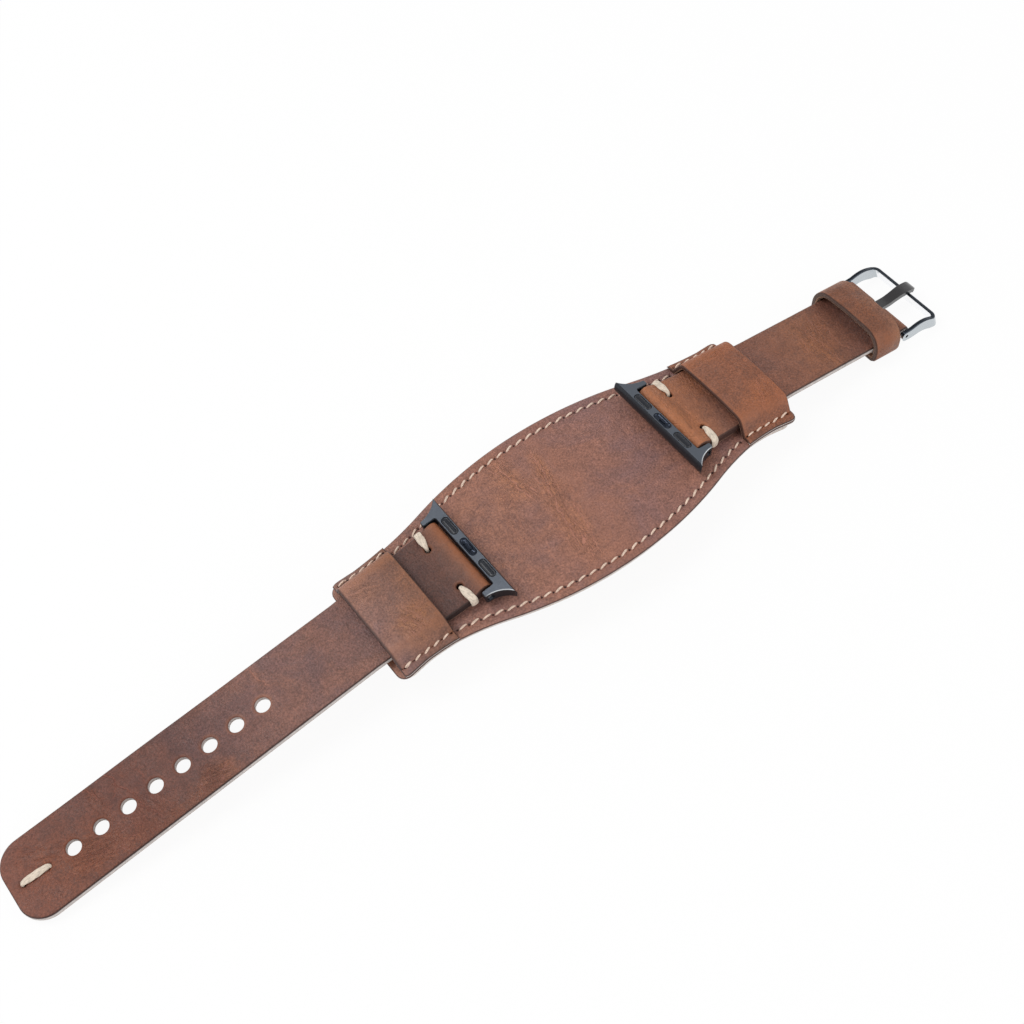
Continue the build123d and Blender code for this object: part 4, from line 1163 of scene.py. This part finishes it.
BRIDGE_PATH, FOOT_PLACE = bridge_path()
BRIDGE_REACHES, BRIDGE_PLACE = bent_strip(BRIDGE_PATH)
FOOT_START = BRIDGE_REACHES[-1] - (PAD_MIDDLE_HALF_WIDTH - FOOT_PLACE)
SHOULDER_REACH = BRIDGE_SHOULDER_PLACE + BRIDGE_SHOULDER / 2
BRIDGE_BENDS = bend_places(BRIDGE_PATH, BRIDGE_REACHES)
BRIDGE_BENDS = np.concatenate([-BRIDGE_BENDS[::-1], BRIDGE_BENDS])


def over_bridge(side):
    """Bends a bridge's flat leather over its strap."""
    def place(s, q, h):
        t, up = BRIDGE_PLACE(np.abs(q), h)
        return on_strap(side)(s, np.sign(q) * t, up - s ** 2 / (2 * PAD_END_RADIUS))
    return place


def foot_edge(s):
    """How far the bridge's flat leather reaches to meet the pad's edge."""
    return FOOT_START + pad_half_width(BRIDGE_REACH + s) - FOOT_PLACE


def bridge_top(s, q, away):
    """Thickness of a bridge, drawn down along its seams and pared thin at its feet."""
    edge_away = foot_edge(s) - np.abs(q)
    pared = BRIDGE_FOOT_SKIVE * (1 - smooth_step(edge_away, 0, 1.6))
    return (BRIDGE_LEATHER + ripple(s, q, 11, 14, 0.05) - pared
            - BRIDGE_GROOVE * bump(edge_away, FLANGE_SEAM_INSET - FAR_SEAM_SHIFT * (q > 0), 0.5))


def bridge_pull_and_highlight(s, q):
    """Where a bridge is bent and rubbed: its shoulders, feet creases and cut edges; the far shoulder's stronger
    pull is partly a painted highlight.
    """
    far = np.abs(q)
    # The far shoulder counts more than the near one, partly as a painted highlight where it faces the light
    shoulder = np.where(q > 0, 1.2, 0.7) * bump(far, SHOULDER_REACH, 1.1)
    crease = 0.6 * bump(far, FOOT_START - 0.6, 0.7)
    edge = 0.5 * smooth_step(np.abs(s), BRIDGE_HALF_LENGTH - 1.4, BRIDGE_HALF_LENGTH)
    return np.clip(shoulder + crease + edge, 0, 1)


def tail_bridge_rim_shade(s, q):
    """How far in the tail bridge's outer burnished rim reaches: painted shade for the gap under it."""
    return np.where((s > BRIDGE_HALF_LENGTH - 1.2) & (np.abs(q) < FOOT_START), 0.4, 1.0)


def bridge_wall_shade(s, q):
    """The bridges' cut edges are darkened with painted shade, for the gap under them, apart from the ends of their
    feet.
    """
    return 1 - smooth_step(np.abs(q), foot_edge(s) - 0.8, foot_edge(s) - 0.3)


def bridge_leather(side):
    """One bridge; returns the runs of stitches along its feet, doubled at their outer ends."""
    s = np.linspace(-BRIDGE_HALF_LENGTH, BRIDGE_HALF_LENGTH, 19)
    near = np.stack([s, -foot_edge(s)], -1)
    far = near[::-1] * (1, -1)
    loop = joined(near, run(near[-1], far[0], 0.25), far, run(far[-1], near[0], 0.25))
    s = np.linspace(0.7 - BRIDGE_HALF_LENGTH, BRIDGE_HALF_LENGTH - 1.0, 20)
    runs, pits = [], []
    for way in (-1, 1):
        seam_inset = FLANGE_SEAM_INSET - (FAR_SEAM_SHIFT if way > 0 else 0)
        line = np.stack([s, way * (foot_edge(s) - seam_inset)], -1)
        stitches, dents = seam_along(line, over_bridge(side), above(bridge_top), FLANGE_SEAM_PITCH)
        doubled = seam_along(line[-4:], over_bridge(side), above(bridge_top, DOUBLED_LIFT))[0]
        runs += [stitches, doubled]
        pits += dents
    name = SIDE_NAMES[side] + "_bridge"
    leather = cut_leather(name + "_hide", loop, bridge_top, level(0), over_bridge(side), pits=pits,
                          rim=0.32, spacing=0.7, bend=bridge_pull_and_highlight, wall_shade=bridge_wall_shade,
                          rim_shade_reach=tail_bridge_rim_shade if side == TAIL else None, bends=BRIDGE_BENDS)
    settle(leather, BROWN[name], "pad", "brown_leather", name)
    return runs


fine_seam("pad_seam", pad_leathers() + bridge_leather(TAIL) + bridge_leather(BUCKLE), FINE_WAXED,
          "pad", 0.3, 5)


# Straps

def strap_half_width(s):
    """Half the strap's width along it, without the tail's tip."""
    full_end, slim_start = LUG_AXIS + STRAP_FULL, LUG_AXIS + STRAP_TAPER
    return np.interp(s, (full_end, slim_start), (STRAP_FOLD_HALF, STRAP_SLIM_HALF))


def fold_places(axis, way):
    """Places along a strap that round off its fold."""
    return [axis + way * FOLD_RADIUS * sin(turn) for turn in np.linspace(0.15, pi / 2, 9)[:-1]]


LUG_FOLD = LUG_AXIS, -1
BUCKLE_FOLD = BUCKLE_AXIS, 1


def strap_faces(axes, seed):
    """Top and bottom of a strap that is folded round a bar at each of the given places."""
    def share(s, axis, way):
        return smooth_step((s - axis) * way, -FOLD_SLOPE, 0)

    def half_round(s, axis, way):
        past = np.clip((s - axis) * way, 0, FOLD_RADIUS)
        return np.sqrt(FOLD_RADIUS ** 2 - past ** 2)

    def top(s, t, away):
        height = STRAP_TOP + ripple(s, t, seed, 20, 0.07)
        for axis, way in axes:
            fold = FOLD_AXIS + half_round(s, axis, way)
            height = height + (fold - height) * share(s, axis, way)
        return height

    def bottom(s, t, away):
        height = np.full_like(s, STRAP_BOTTOM)
        pared = STRAP_EDGE_SKIVE * (1 - smooth_step(away, 0, 1.2))
        for axis, way in axes:
            past = (s - axis) * way
            flap = smooth_step(past, -FLAP_LENGTH, FLAP_SKIVE - FLAP_LENGTH)
            height = height - (STRAP_BOTTOM - FOLD_BOTTOM) * flap
            pared = pared * (1 - flap)
            height = np.where(past > 0, FOLD_AXIS - half_round(s, axis, way), height)
        return height + pared

    def glue(s):
        folded = np.zeros_like(s)
        for axis, way in axes:
            past = (s - axis) * way
            folded = np.maximum(folded, 0.1 * smooth_step(past, -FLAP_LENGTH, -FLAP_LENGTH + 0.4)
                                * (1 - smooth_step(past, 0.2, 0.9)))
        return folded
    return top, bottom, glue


def strap_edge(start, stop):
    """One long edge of a strap, with close steps over its folds."""
    folds = fold_places(*LUG_FOLD) + fold_places(*BUCKLE_FOLD)
    places = np.concatenate([np.linspace(start, stop, ceil((stop - start) / 0.7)),
                             [place for place in folds if start <= place <= stop]])
    places = np.unique(np.round(places, 3))
    return np.stack([places, -strap_half_width(places)], -1)


def mirrored(*half_loop):
    """A whole loop from the pieces of its near half, which runs outward."""
    half_loop = joined(*half_loop, closed=False)
    return joined(half_loop, half_loop[::-1] * (1, -1))


def near_side_holes(s, t, reach, width):
    """A ring round each hole of the side stitches."""
    away = np.minimum(*[np.hypot(s - hole[0], t - hole[1]) for hole in SIDE_HOLES])
    return bump(away, reach, width)


def strap_bend(spots, holed=()):
    """Orange pull-up marks: (place, width, strength) along a strap, and rings round its holes."""
    def at(s, t):
        total = 0.9 * near_side_holes(s, t, 0.95, 0.3)
        for place in holed:
            total = total + 0.75 * bump(np.hypot(s - place, t), HOLE_RADIUS + 0.2, 0.35)
        for place, width, strength in spots:
            total += strength * bump(s, place, width)
        return np.clip(total, 0, 1)
    return at


def strap_wall_shade(s, t):
    """Cut edges are darkened with painted shade inside the side stitches' holes and between the bridge and the
    adapter.
    """
    dark = near_side_holes(s, t, 0, 1.3) * 1.6
    return np.clip(np.maximum(dark, 1 - smooth_step(s, -6, -2)), 0, 1)


def end_dents(middle, spreads, length, radius, depth):
    """Dents where stitches along the strap go in and come out."""
    return [(middle + way * (length / 2 + 0.1), spread, radius, depth)
            for way in (-1, 1) for spread in spreads]


SIDE_HOLES = [(SIDE_STITCH - 0.3, way * (SIDE_STITCH_INNER - 0.55)) for way in (-1, 1)]
SIDE_OPENINGS = [arc(spot, SIDE_HOLE_RADIUS, 0, 2 * pi, 0.25)[:-1] for spot in SIDE_HOLES]
SIDE_DENTS = [(SIDE_STITCH, way * t, 1.0, 0.12) for t in (7.0, 8.0, 9.0) for way in (-1, 1)]


def cut_strap(side, body, loop, axes, seed, holes, dents, rubbed, hole_places=()):
    """A strap's leather, folded round a bar at each of its axes and holed for its side stitches."""
    top, bottom, glue = strap_faces(axes, seed)
    ends = [axis + way * FOLD_RADIUS for axis, way in axes]
    rows = [place for fold in axes for place in fold_places(*fold)]
    rows += [end - way * 0.01 for end, (_, way) in zip(ends, axes)]
    name = SIDE_NAMES[side] + "_strap"
    leather = cut_leather(name + "_hide", loop, top, bottom, on_strap(side), holes + SIDE_OPENINGS,
                          SIDE_DENTS + dents, ends, rim=0.42, rings=(1.1, 1.6), rows=rows,
                          glue_line=glue, wall_shade=strap_wall_shade, bend=strap_bend(rubbed, hole_places))
    settle(leather, BROWN[SIDE_NAMES[side]], body, "brown_leather", name)


def tail_strap():
    """The tail strap, straight to its tip, whose corners are round, with a row of holes."""
    corner = arc((TAIL_END - TAIL_TIP_CORNER, TAIL_TIP_CORNER - TAIL_TIP_HALF), TAIL_TIP_CORNER,
                 -pi / 2, 0)
    edge = strap_edge(FOLD_START, LUG_AXIS + STRAP_TAPER)
    loop = mirrored(run((FOLD_START, -0.01), edge[0]), edge, run(edge[-1], corner[0]), corner,
                    run(corner[-1], (TAIL_END, -0.01)))
    dents = end_dents(TIP_STITCH, (0,), TIP_STITCH_LENGTH, 0.75, 0.75)
    dents += [(TIP_STITCH + shift, 0, 1.2, 0.1) for shift in (-1.8, 0, 1.8)]
    hole_places = [TAIL_END - HOLE_INSET - k * HOLE_PITCH for k in range(HOLE_COUNT)]
    holes = [arc((place, 0), HOLE_RADIUS, 0, 2 * pi, 0.35)[:-1] for place in hole_places]
    rubbed = ((LUG_AXIS - 0.6, 1.8, 0.9), (LUG_AXIS + 4, 1.5, 0.35), (62, 3, 0.2), (TAIL_END, 4, 0.3))
    cut_strap(TAIL, "tail", loop, [LUG_FOLD], 21, holes, dents, rubbed, hole_places)


def buckle_strap():
    """The buckle strap, folded at both ends and slotted for the tongue."""
    slot = arc((BUCKLE_END - TONGUE_SLOT_LENGTH, 0), TONGUE_SLOT_HALF, -pi / 2, -pi + 0.02, 0.3)
    slot_start = BUCKLE_END, -TONGUE_SLOT_HALF
    edge = strap_edge(FOLD_START, BUCKLE_END)
    loop = mirrored(run((FOLD_START, -0.01), edge[0]), edge, run(edge[-1], slot_start),
                    run(slot_start, slot[0], 0.4), slot)
    dents = end_dents(END_STITCH, (-END_STITCH_SPREAD, END_STITCH_SPREAD), END_STITCH_LENGTH, 0.7, 0.6)
    rubbed = ((LUG_AXIS - 0.6, 1.8, 0.9), (LUG_AXIS + 5, 2.5, 0.4), (BUCKLE_AXIS + 0.6, 1.8, 0.9),
              (20, 8, 0.2))
    cut_strap(BUCKLE, "buckle_side", loop, [LUG_FOLD, BUCKLE_FOLD], 22, [], dents, rubbed)


tail_strap()
buckle_strap()


# Thick stitches

def rounded_box(low, high, bottom, top, corner):
    """A closed path with round corners, as pairs."""
    spots = [((high - corner, bottom + corner), -pi / 2), ((high - corner, top - corner), 0),
             ((low + corner, top - corner), pi / 2), ((low + corner, bottom + corner), pi)]
    return joined(*[arc(middle, corner, start, start + pi / 2, 0.12) for middle, start in spots])


def side_width(points):
    """Side stitches are drawn thin into their holes and spread out over the strap's edge."""
    return THICK_WIDTH * (0.5 + 0.56 * smooth_step(np.abs(points[:, 1]), SIDE_STITCH_INNER - 0.3,
                                                   SIDE_STITCH_INNER + 1.5))


def leaf_width(middle, length):
    """Stitches along a strap are widest in their middle."""
    def at(points):
        share = np.clip(np.abs(points[:, 0] - middle) / (length / 2 + 0.4), 0, 1)
        return THICK_WIDTH * (0.42 + 0.6 * np.sqrt(1 - share ** 2))
    return at


def side_loop(way):
    """A loop of thread round one edge of a strap's fold, leaning a little along the strap."""
    pairs = rounded_box(SIDE_STITCH_INNER - 0.3, STRAP_FOLD_HALF + HALF_THREAD, FOLD_BOTTOM + 0.1,
                        STRAP_TOP + HALF_THREAD - 0.06, 0.5)
    lean = -0.1 * (pairs[:, 0] - SIDE_STITCH_INNER)
    return np.stack([SIDE_STITCH - 0.3 + lean, way * pairs[:, 0], pairs[:, 1]], -1), (1, 0, 0)


def long_loop(along, across, length, under, lean=0.0):
    """A loop of thread along a strap, through two holes, from the given height of its under side."""
    pairs = rounded_box(along - length / 2 - HALF_THREAD, along + length / 2 + HALF_THREAD,
                        under + HALF_THREAD, STRAP_TOP + HALF_THREAD - 0.08, 0.4)
    slanted = across + lean * (pairs[:, 0] - along)
    return np.stack([pairs[:, 0], slanted, pairs[:, 1]], -1), (0, 1, 0)


for side, body in ((TAIL, "tail"), (BUCKLE, "buckle_side")):
    thick_thread(SIDE_NAMES[side] + "_side_thread", [side_loop(-1), side_loop(1)], on_strap(side),
                 THICK_WAXED, body, SIDE_NAMES[side] + "_side_stitches", side_width)
thick_thread("tail_tip_thread", [long_loop(TIP_STITCH, 0, TIP_STITCH_LENGTH, STRAP_BOTTOM, 0.06)],
             on_strap(TAIL), THICK_WAXED, "tail", "tail_tip_stitch",
             leaf_width(TIP_STITCH, TIP_STITCH_LENGTH))
thick_thread("buckle_fold_thread", [
    long_loop(END_STITCH, spread, END_STITCH_LENGTH, FOLD_BOTTOM)
    for spread in (-END_STITCH_SPREAD, END_STITCH_SPREAD)], on_strap(BUCKLE), THICK_WAXED,
    "buckle_side", "buckle_fold_stitches", leaf_width(END_STITCH, END_STITCH_LENGTH))


# Keeper

def keeper_path():
    """Inner side of the keeper: a low arch with round shoulders, straight sides and a flat run."""
    crown_radius = (KEEPER_HALF ** 2 + KEEPER_RISE ** 2) / (2 * KEEPER_RISE)
    slope = asin(KEEPER_HALF / crown_radius) * 0.8
    start = KEEPER_HALF - KEEPER_CORNER
    t = np.linspace(0, start, 24)
    crown = np.stack([t, KEEPER_HEIGHT + KEEPER_RISE * (1 - (t / KEEPER_HALF) ** 2)], -1)
    shoulder = arc((start, KEEPER_HEIGHT - KEEPER_CORNER), KEEPER_CORNER, pi / 2 - slope, 0, BEND_STEP)
    shoulder[:, 1] += (crown[-1, 1] - KEEPER_HEIGHT) * np.linspace(1, 0, len(shoulder))
    over = joined(crown, shoulder, closed=False)
    under = arc((KEEPER_HALF - KEEPER_UNDER_CORNER, KEEPER_UNDER_CORNER), KEEPER_UNDER_CORNER,
                0, -pi / 2, 0.1)
    half_path = joined(over, run(over[-1], under[0]), under, run(under[-1], (0, 0)), closed=False)
    return joined(half_path[::-1] * (-1, 1), half_path, closed=False)


def keeper_top(s, q, away):
    """Thickness of the keeper."""
    return KEEPER_LEATHER + ripple(s, q, 31, 12, 0.05)


def keeper():
    """The keeper: a flat strip bent into a closed band round the buckle strap."""
    path = keeper_path()
    reaches, place = bent_strip(path, closed=True)

    def round_strap(s, q, h):
        t, up = place(q, h)
        return on_strap(BUCKLE)(s + KEEPER_PLACE, t, up)

    def rubbed(s, q):
        shoulders = 0.9 * bump(np.abs(q - reaches[-1] / 2), KEEPER_HALF, 1.6)
        return np.clip(shoulders + 0.4 * smooth_step(np.abs(s), 2.4, 3.6), 0, 1)

    half = KEEPER_WIDTH / 2
    corners = (-half, 0), (half, 0), (half, reaches[-1]), (-half, reaches[-1])
    loop = joined(*[run(corners[k], corners[(k + 1) % 4], 0.2) for k in range(4)])
    leather = cut_leather("keeper_hide", loop, keeper_top, level(0), round_strap, rim=0.3,
                          spacing=0.7, bulge=0.08, bends=bend_places(path, reaches), bend=rubbed)
    settle(leather, BROWN["keeper"], "keeper", "brown_leather", "keeper_loop")


keeper()


# Metal and rubber

# The adapters' and tongue's darker sides are painted shade; the buckle frame's light sides and white front are
# painted reflections; the adapters' near-end glint is a painted highlight
ADAPTER_COAT = satin_metal("adapter_coat", tint(96, 102, 111), 0.34, 0.6, 1.3,
                           side=tint(44, 47, 53), glint=tint(200, 204, 208))
RUBBER = moulded_rubber("insert_rubber")
KEY_METAL = satin_metal("lock_key_metal", tint(50, 56, 68), 0.16, 0.8, 1.3)
POLISHED = satin_metal("polished_dark_metal", tint(60, 65, 72), 0.22, 1.0, 1.2, 0.000002,
                       side=tint(190, 196, 200), upper=(0.2, 0.4), front_reflection=tint(248, 249, 251))
DARK_GLOSS = satin_metal("tongue_metal", tint(40, 38, 40), 0.3, 0.2, 1.2, 0.000002, gloss=1.0,
                         side=tint(30, 31, 33), upper=(0.5, 0.9))
BARE_STEEL = satin_metal("bar_steel", tint(165, 166, 168), 0.3, 1.0, 1.2)
SPRING_STEEL = satin_metal("spring_steel", tint(150, 150, 152), 0.34, 1.0, 1.2)


def dish(shape, lie, steps):
    """Sets rings into the long round top faces: steps are how far in each lies and how deep."""
    upward = lie[:, 2]
    tops = [face for face in shape.faces
            if face.normal.dot(Vector(upward)) > 0.97 and face.calc_area() > MM ** 2]
    for inward, deep in steps:
        tops = bmesh.ops.extrude_discrete_faces(shape, faces=tops)["faces"]
        for face in tops:
            spots = np.array([vert.co[:] for vert in face.verts])
            plan = (spots - spots.mean(0)) @ lie[:, :2]
            middle = (plan.max(0) + plan.min(0)) / 2
            reach = (plan.max(0) - plan.min(0)) / 2
            spine = middle + np.clip(plan - middle, reach.min() - reach, reach - reach.min())
            move = (spine - plan) * inward * MM / reach.min()
            for vert, (outward, across) in zip(face.verts, move):
                vert.co += Vector(lie[:, 0] * outward + lie[:, 1] * across - upward * deep * MM)


def bow(shape, lie, start, stop, rise):
    """Bends a straight frame upward between two places along its strap."""
    outward, upward, origin = lie[:, 0], lie[:, 2], lie[:, 3]
    for place in np.linspace(start, stop, 12)[1:-1]:
        bmesh.ops.bisect_plane(shape, geom=shape.verts[:] + shape.edges[:] + shape.faces[:],
                               plane_co=origin + outward * place * MM, plane_no=outward)
    for vert in shape.verts:
        share = (float((np.array(vert.co) - origin) @ outward) / MM - start) / (stop - start)
        if 0 < share < 1:
            vert.co += Vector(upward) * rise * MM * sin(pi * share)


def machined(node, finish, slot, width, side=BUCKLE, segments=2, rings=(), bowed=None):
    """A merged copy of a CAD node with its sharp edges broken, which stands for the node."""
    mesh = frame["nodes"][node].data.copy()
    shape = bmesh.new()
    shape.from_mesh(mesh)
    bmesh.ops.remove_doubles(shape, verts=shape.verts, dist=METAL_MERGE)
    bmesh.ops.dissolve_limit(shape, angle_limit=radians(1.0), verts=shape.verts, edges=shape.edges)
    bmesh.ops.recalc_face_normals(shape, faces=shape.faces)
    if rings:
        dish(shape, LIE[side], rings)
    if bowed:
        bow(shape, LIE[side], *bowed)
    for edge in shape.edges:
        edge.smooth = len(edge.link_faces) != 2 or edge.calc_face_angle() <= SHARP_ANGLE
    shape.to_mesh(mesh)
    shape.free()
    normals = np.array([face.normal for face in mesh.polygons])
    set_mark(mesh, "facing", normals @ LIE[side][:, 2], "FACE")
    set_mark(mesh, "sideways", np.abs(normals[:, 1]), "FACE")
    mesh.shade_smooth()
    piece = linked(node + "_finished", mesh)
    softened = piece.modifiers.new("broken edges", "BEVEL")
    softened.width = width * MM
    softened.segments = segments
    softened.limit_method = "ANGLE"
    softened.angle_limit = SHARP_ANGLE
    softened.harden_normals = True
    settle(piece, finish, BODY_OF[node], slot, node)


for side, name in SIDE_NAMES.items():
    machined(name + "_adapter_body", ADAPTER_COAT, "adapter_metal", 0.07, side)
    machined(name + "_adapter_inserts", RUBBER, "insert_rubber", 0.05, side,
             rings=((0.16, 0.08), (0.22, -0.04)))
    machined(name + "_lock_button", KEY_METAL, "lock_metal", 0.04, side,
             rings=((0.22, 0.0), (0.18, 0.16), (0.22, 0.03)))
    machined(name + "_button_spring", SPRING_STEEL, "spring_steel", 0.02, side)
    machined(name + "_lug_bar", BARE_STEEL, "bar_steel", 0.04, side)
machined("buckle_frame", POLISHED, "buckle_metal", 0.1, bowed=FRAME_BOW)
machined("buckle_tongue", DARK_GLOSS, "buckle_metal", 0.42, segments=4)
for node in ("spring_bar_tube", "spring_bar_tip_near", "spring_bar_tip_far"):
    machined(node, BARE_STEEL, "bar_steel", 0.05)
machined("spring_bar_coil", SPRING_STEEL, "spring_steel", 0.03)


# Floor, light and camera

def white_table():
    """A plain white table that glows a little where the camera sees it."""
    mesh = bpy.data.meshes.new("table_top")
    corners = [(x * TABLE_REACH, y * TABLE_REACH, TABLE_TOP)
               for x, y in ((-1, -1), (1, -1), (1, 1), (-1, 1))]
    mesh.from_pydata(corners, [], [(0, 1, 2, 3)])
    f = Finish("white_table")
    f.done(f.mix(f.noise(3, 2), tint(251, 251, 251), tint(253, 253, 253)), 0.8,
           Specular_IOR_Level=0.2)
    glow = f.add("ShaderNodeEmission", {"Color": (1, 1, 1, 1), "Strength": 1.0})
    ray = f.add("ShaderNodeLightPath").outputs
    seen = f.product(f.maths("MAXIMUM", ray["Is Camera Ray"], ray["Is Glossy Ray"]), TABLE_GLOW)
    lit = f.add("ShaderNodeMixShader", {0: seen, 1: f.shader.outputs[0], 2: glow.outputs[0]})
    f.feed(f.nodes["Material Output"].inputs["Surface"], lit.outputs[0])
    mesh.materials.append(f.material)
    linked("table_top", mesh)


def studio_light():
    """A white world, darker overhead, with two soft lamps above."""
    world = bpy.data.worlds.new("studio")
    bpy.context.scene.world = world
    world.use_nodes = True
    w = Nodes(world.node_tree)
    up = w.add("ShaderNodeSeparateXYZ", {0: w.add("ShaderNodeTexCoord").outputs["Generated"]})
    (low, high), (below, overhead) = WORLD_HEIGHTS, WORLD_STRENGTHS
    height = w.add("ShaderNodeMapRange", {0: up.outputs[2], 1: low, 2: high, 3: below, 4: overhead})
    rays = w.add("ShaderNodeLightPath").outputs["Is Camera Ray"]
    shade = w.nodes["Background"].inputs
    w.feed(shade["Strength"], w.maths("MAXIMUM", height.outputs[0], rays))
    w.feed(shade["Color"], (1, 1, 1, 1))
    for name, place, size, power in LAMPS:
        light = bpy.data.lights.new(name, "AREA")
        light.shape, light.size, light.energy = "SQUARE", size, power
        lamp = linked(name, light)
        lamp.location = place
        lamp.rotation_euler = (-Vector(place)).to_track_quat("-Z", "Y").to_euler()


def photograph_camera():
    """The camera, fitted to the photograph over the holes, adapters, pad and buckle."""
    azimuth, elevation, roll = [radians(angle) for angle in CAMERA_ANGLES]
    back = Vector((sin(azimuth) * cos(elevation), -cos(azimuth) * cos(elevation), sin(elevation)))
    right = Vector((cos(azimuth), sin(azimuth), 0))
    up = back.cross(right)
    turned_right = right * cos(roll) + up * sin(roll)
    turned_up = up * cos(roll) - right * sin(roll)
    lens = bpy.data.cameras.new("photograph")
    lens.sensor_width = SENSOR_WIDTH
    lens.lens = CAMERA_FOCAL_PIXELS / PHOTO_PIXELS * SENSOR_WIDTH
    lens.clip_start, lens.clip_end = 0.01, 20
    camera = linked("photograph", lens)
    camera.matrix_world = Matrix((turned_right, turned_up, back)).transposed().to_4x4()
    camera.location = Vector(CAMERA_TARGET) * MM + back * (CAMERA_DISTANCE * MM)
    bpy.context.scene.camera = camera


white_table()
studio_light()
photograph_camera()
bpy.context.scene.view_settings.view_transform = "Standard"
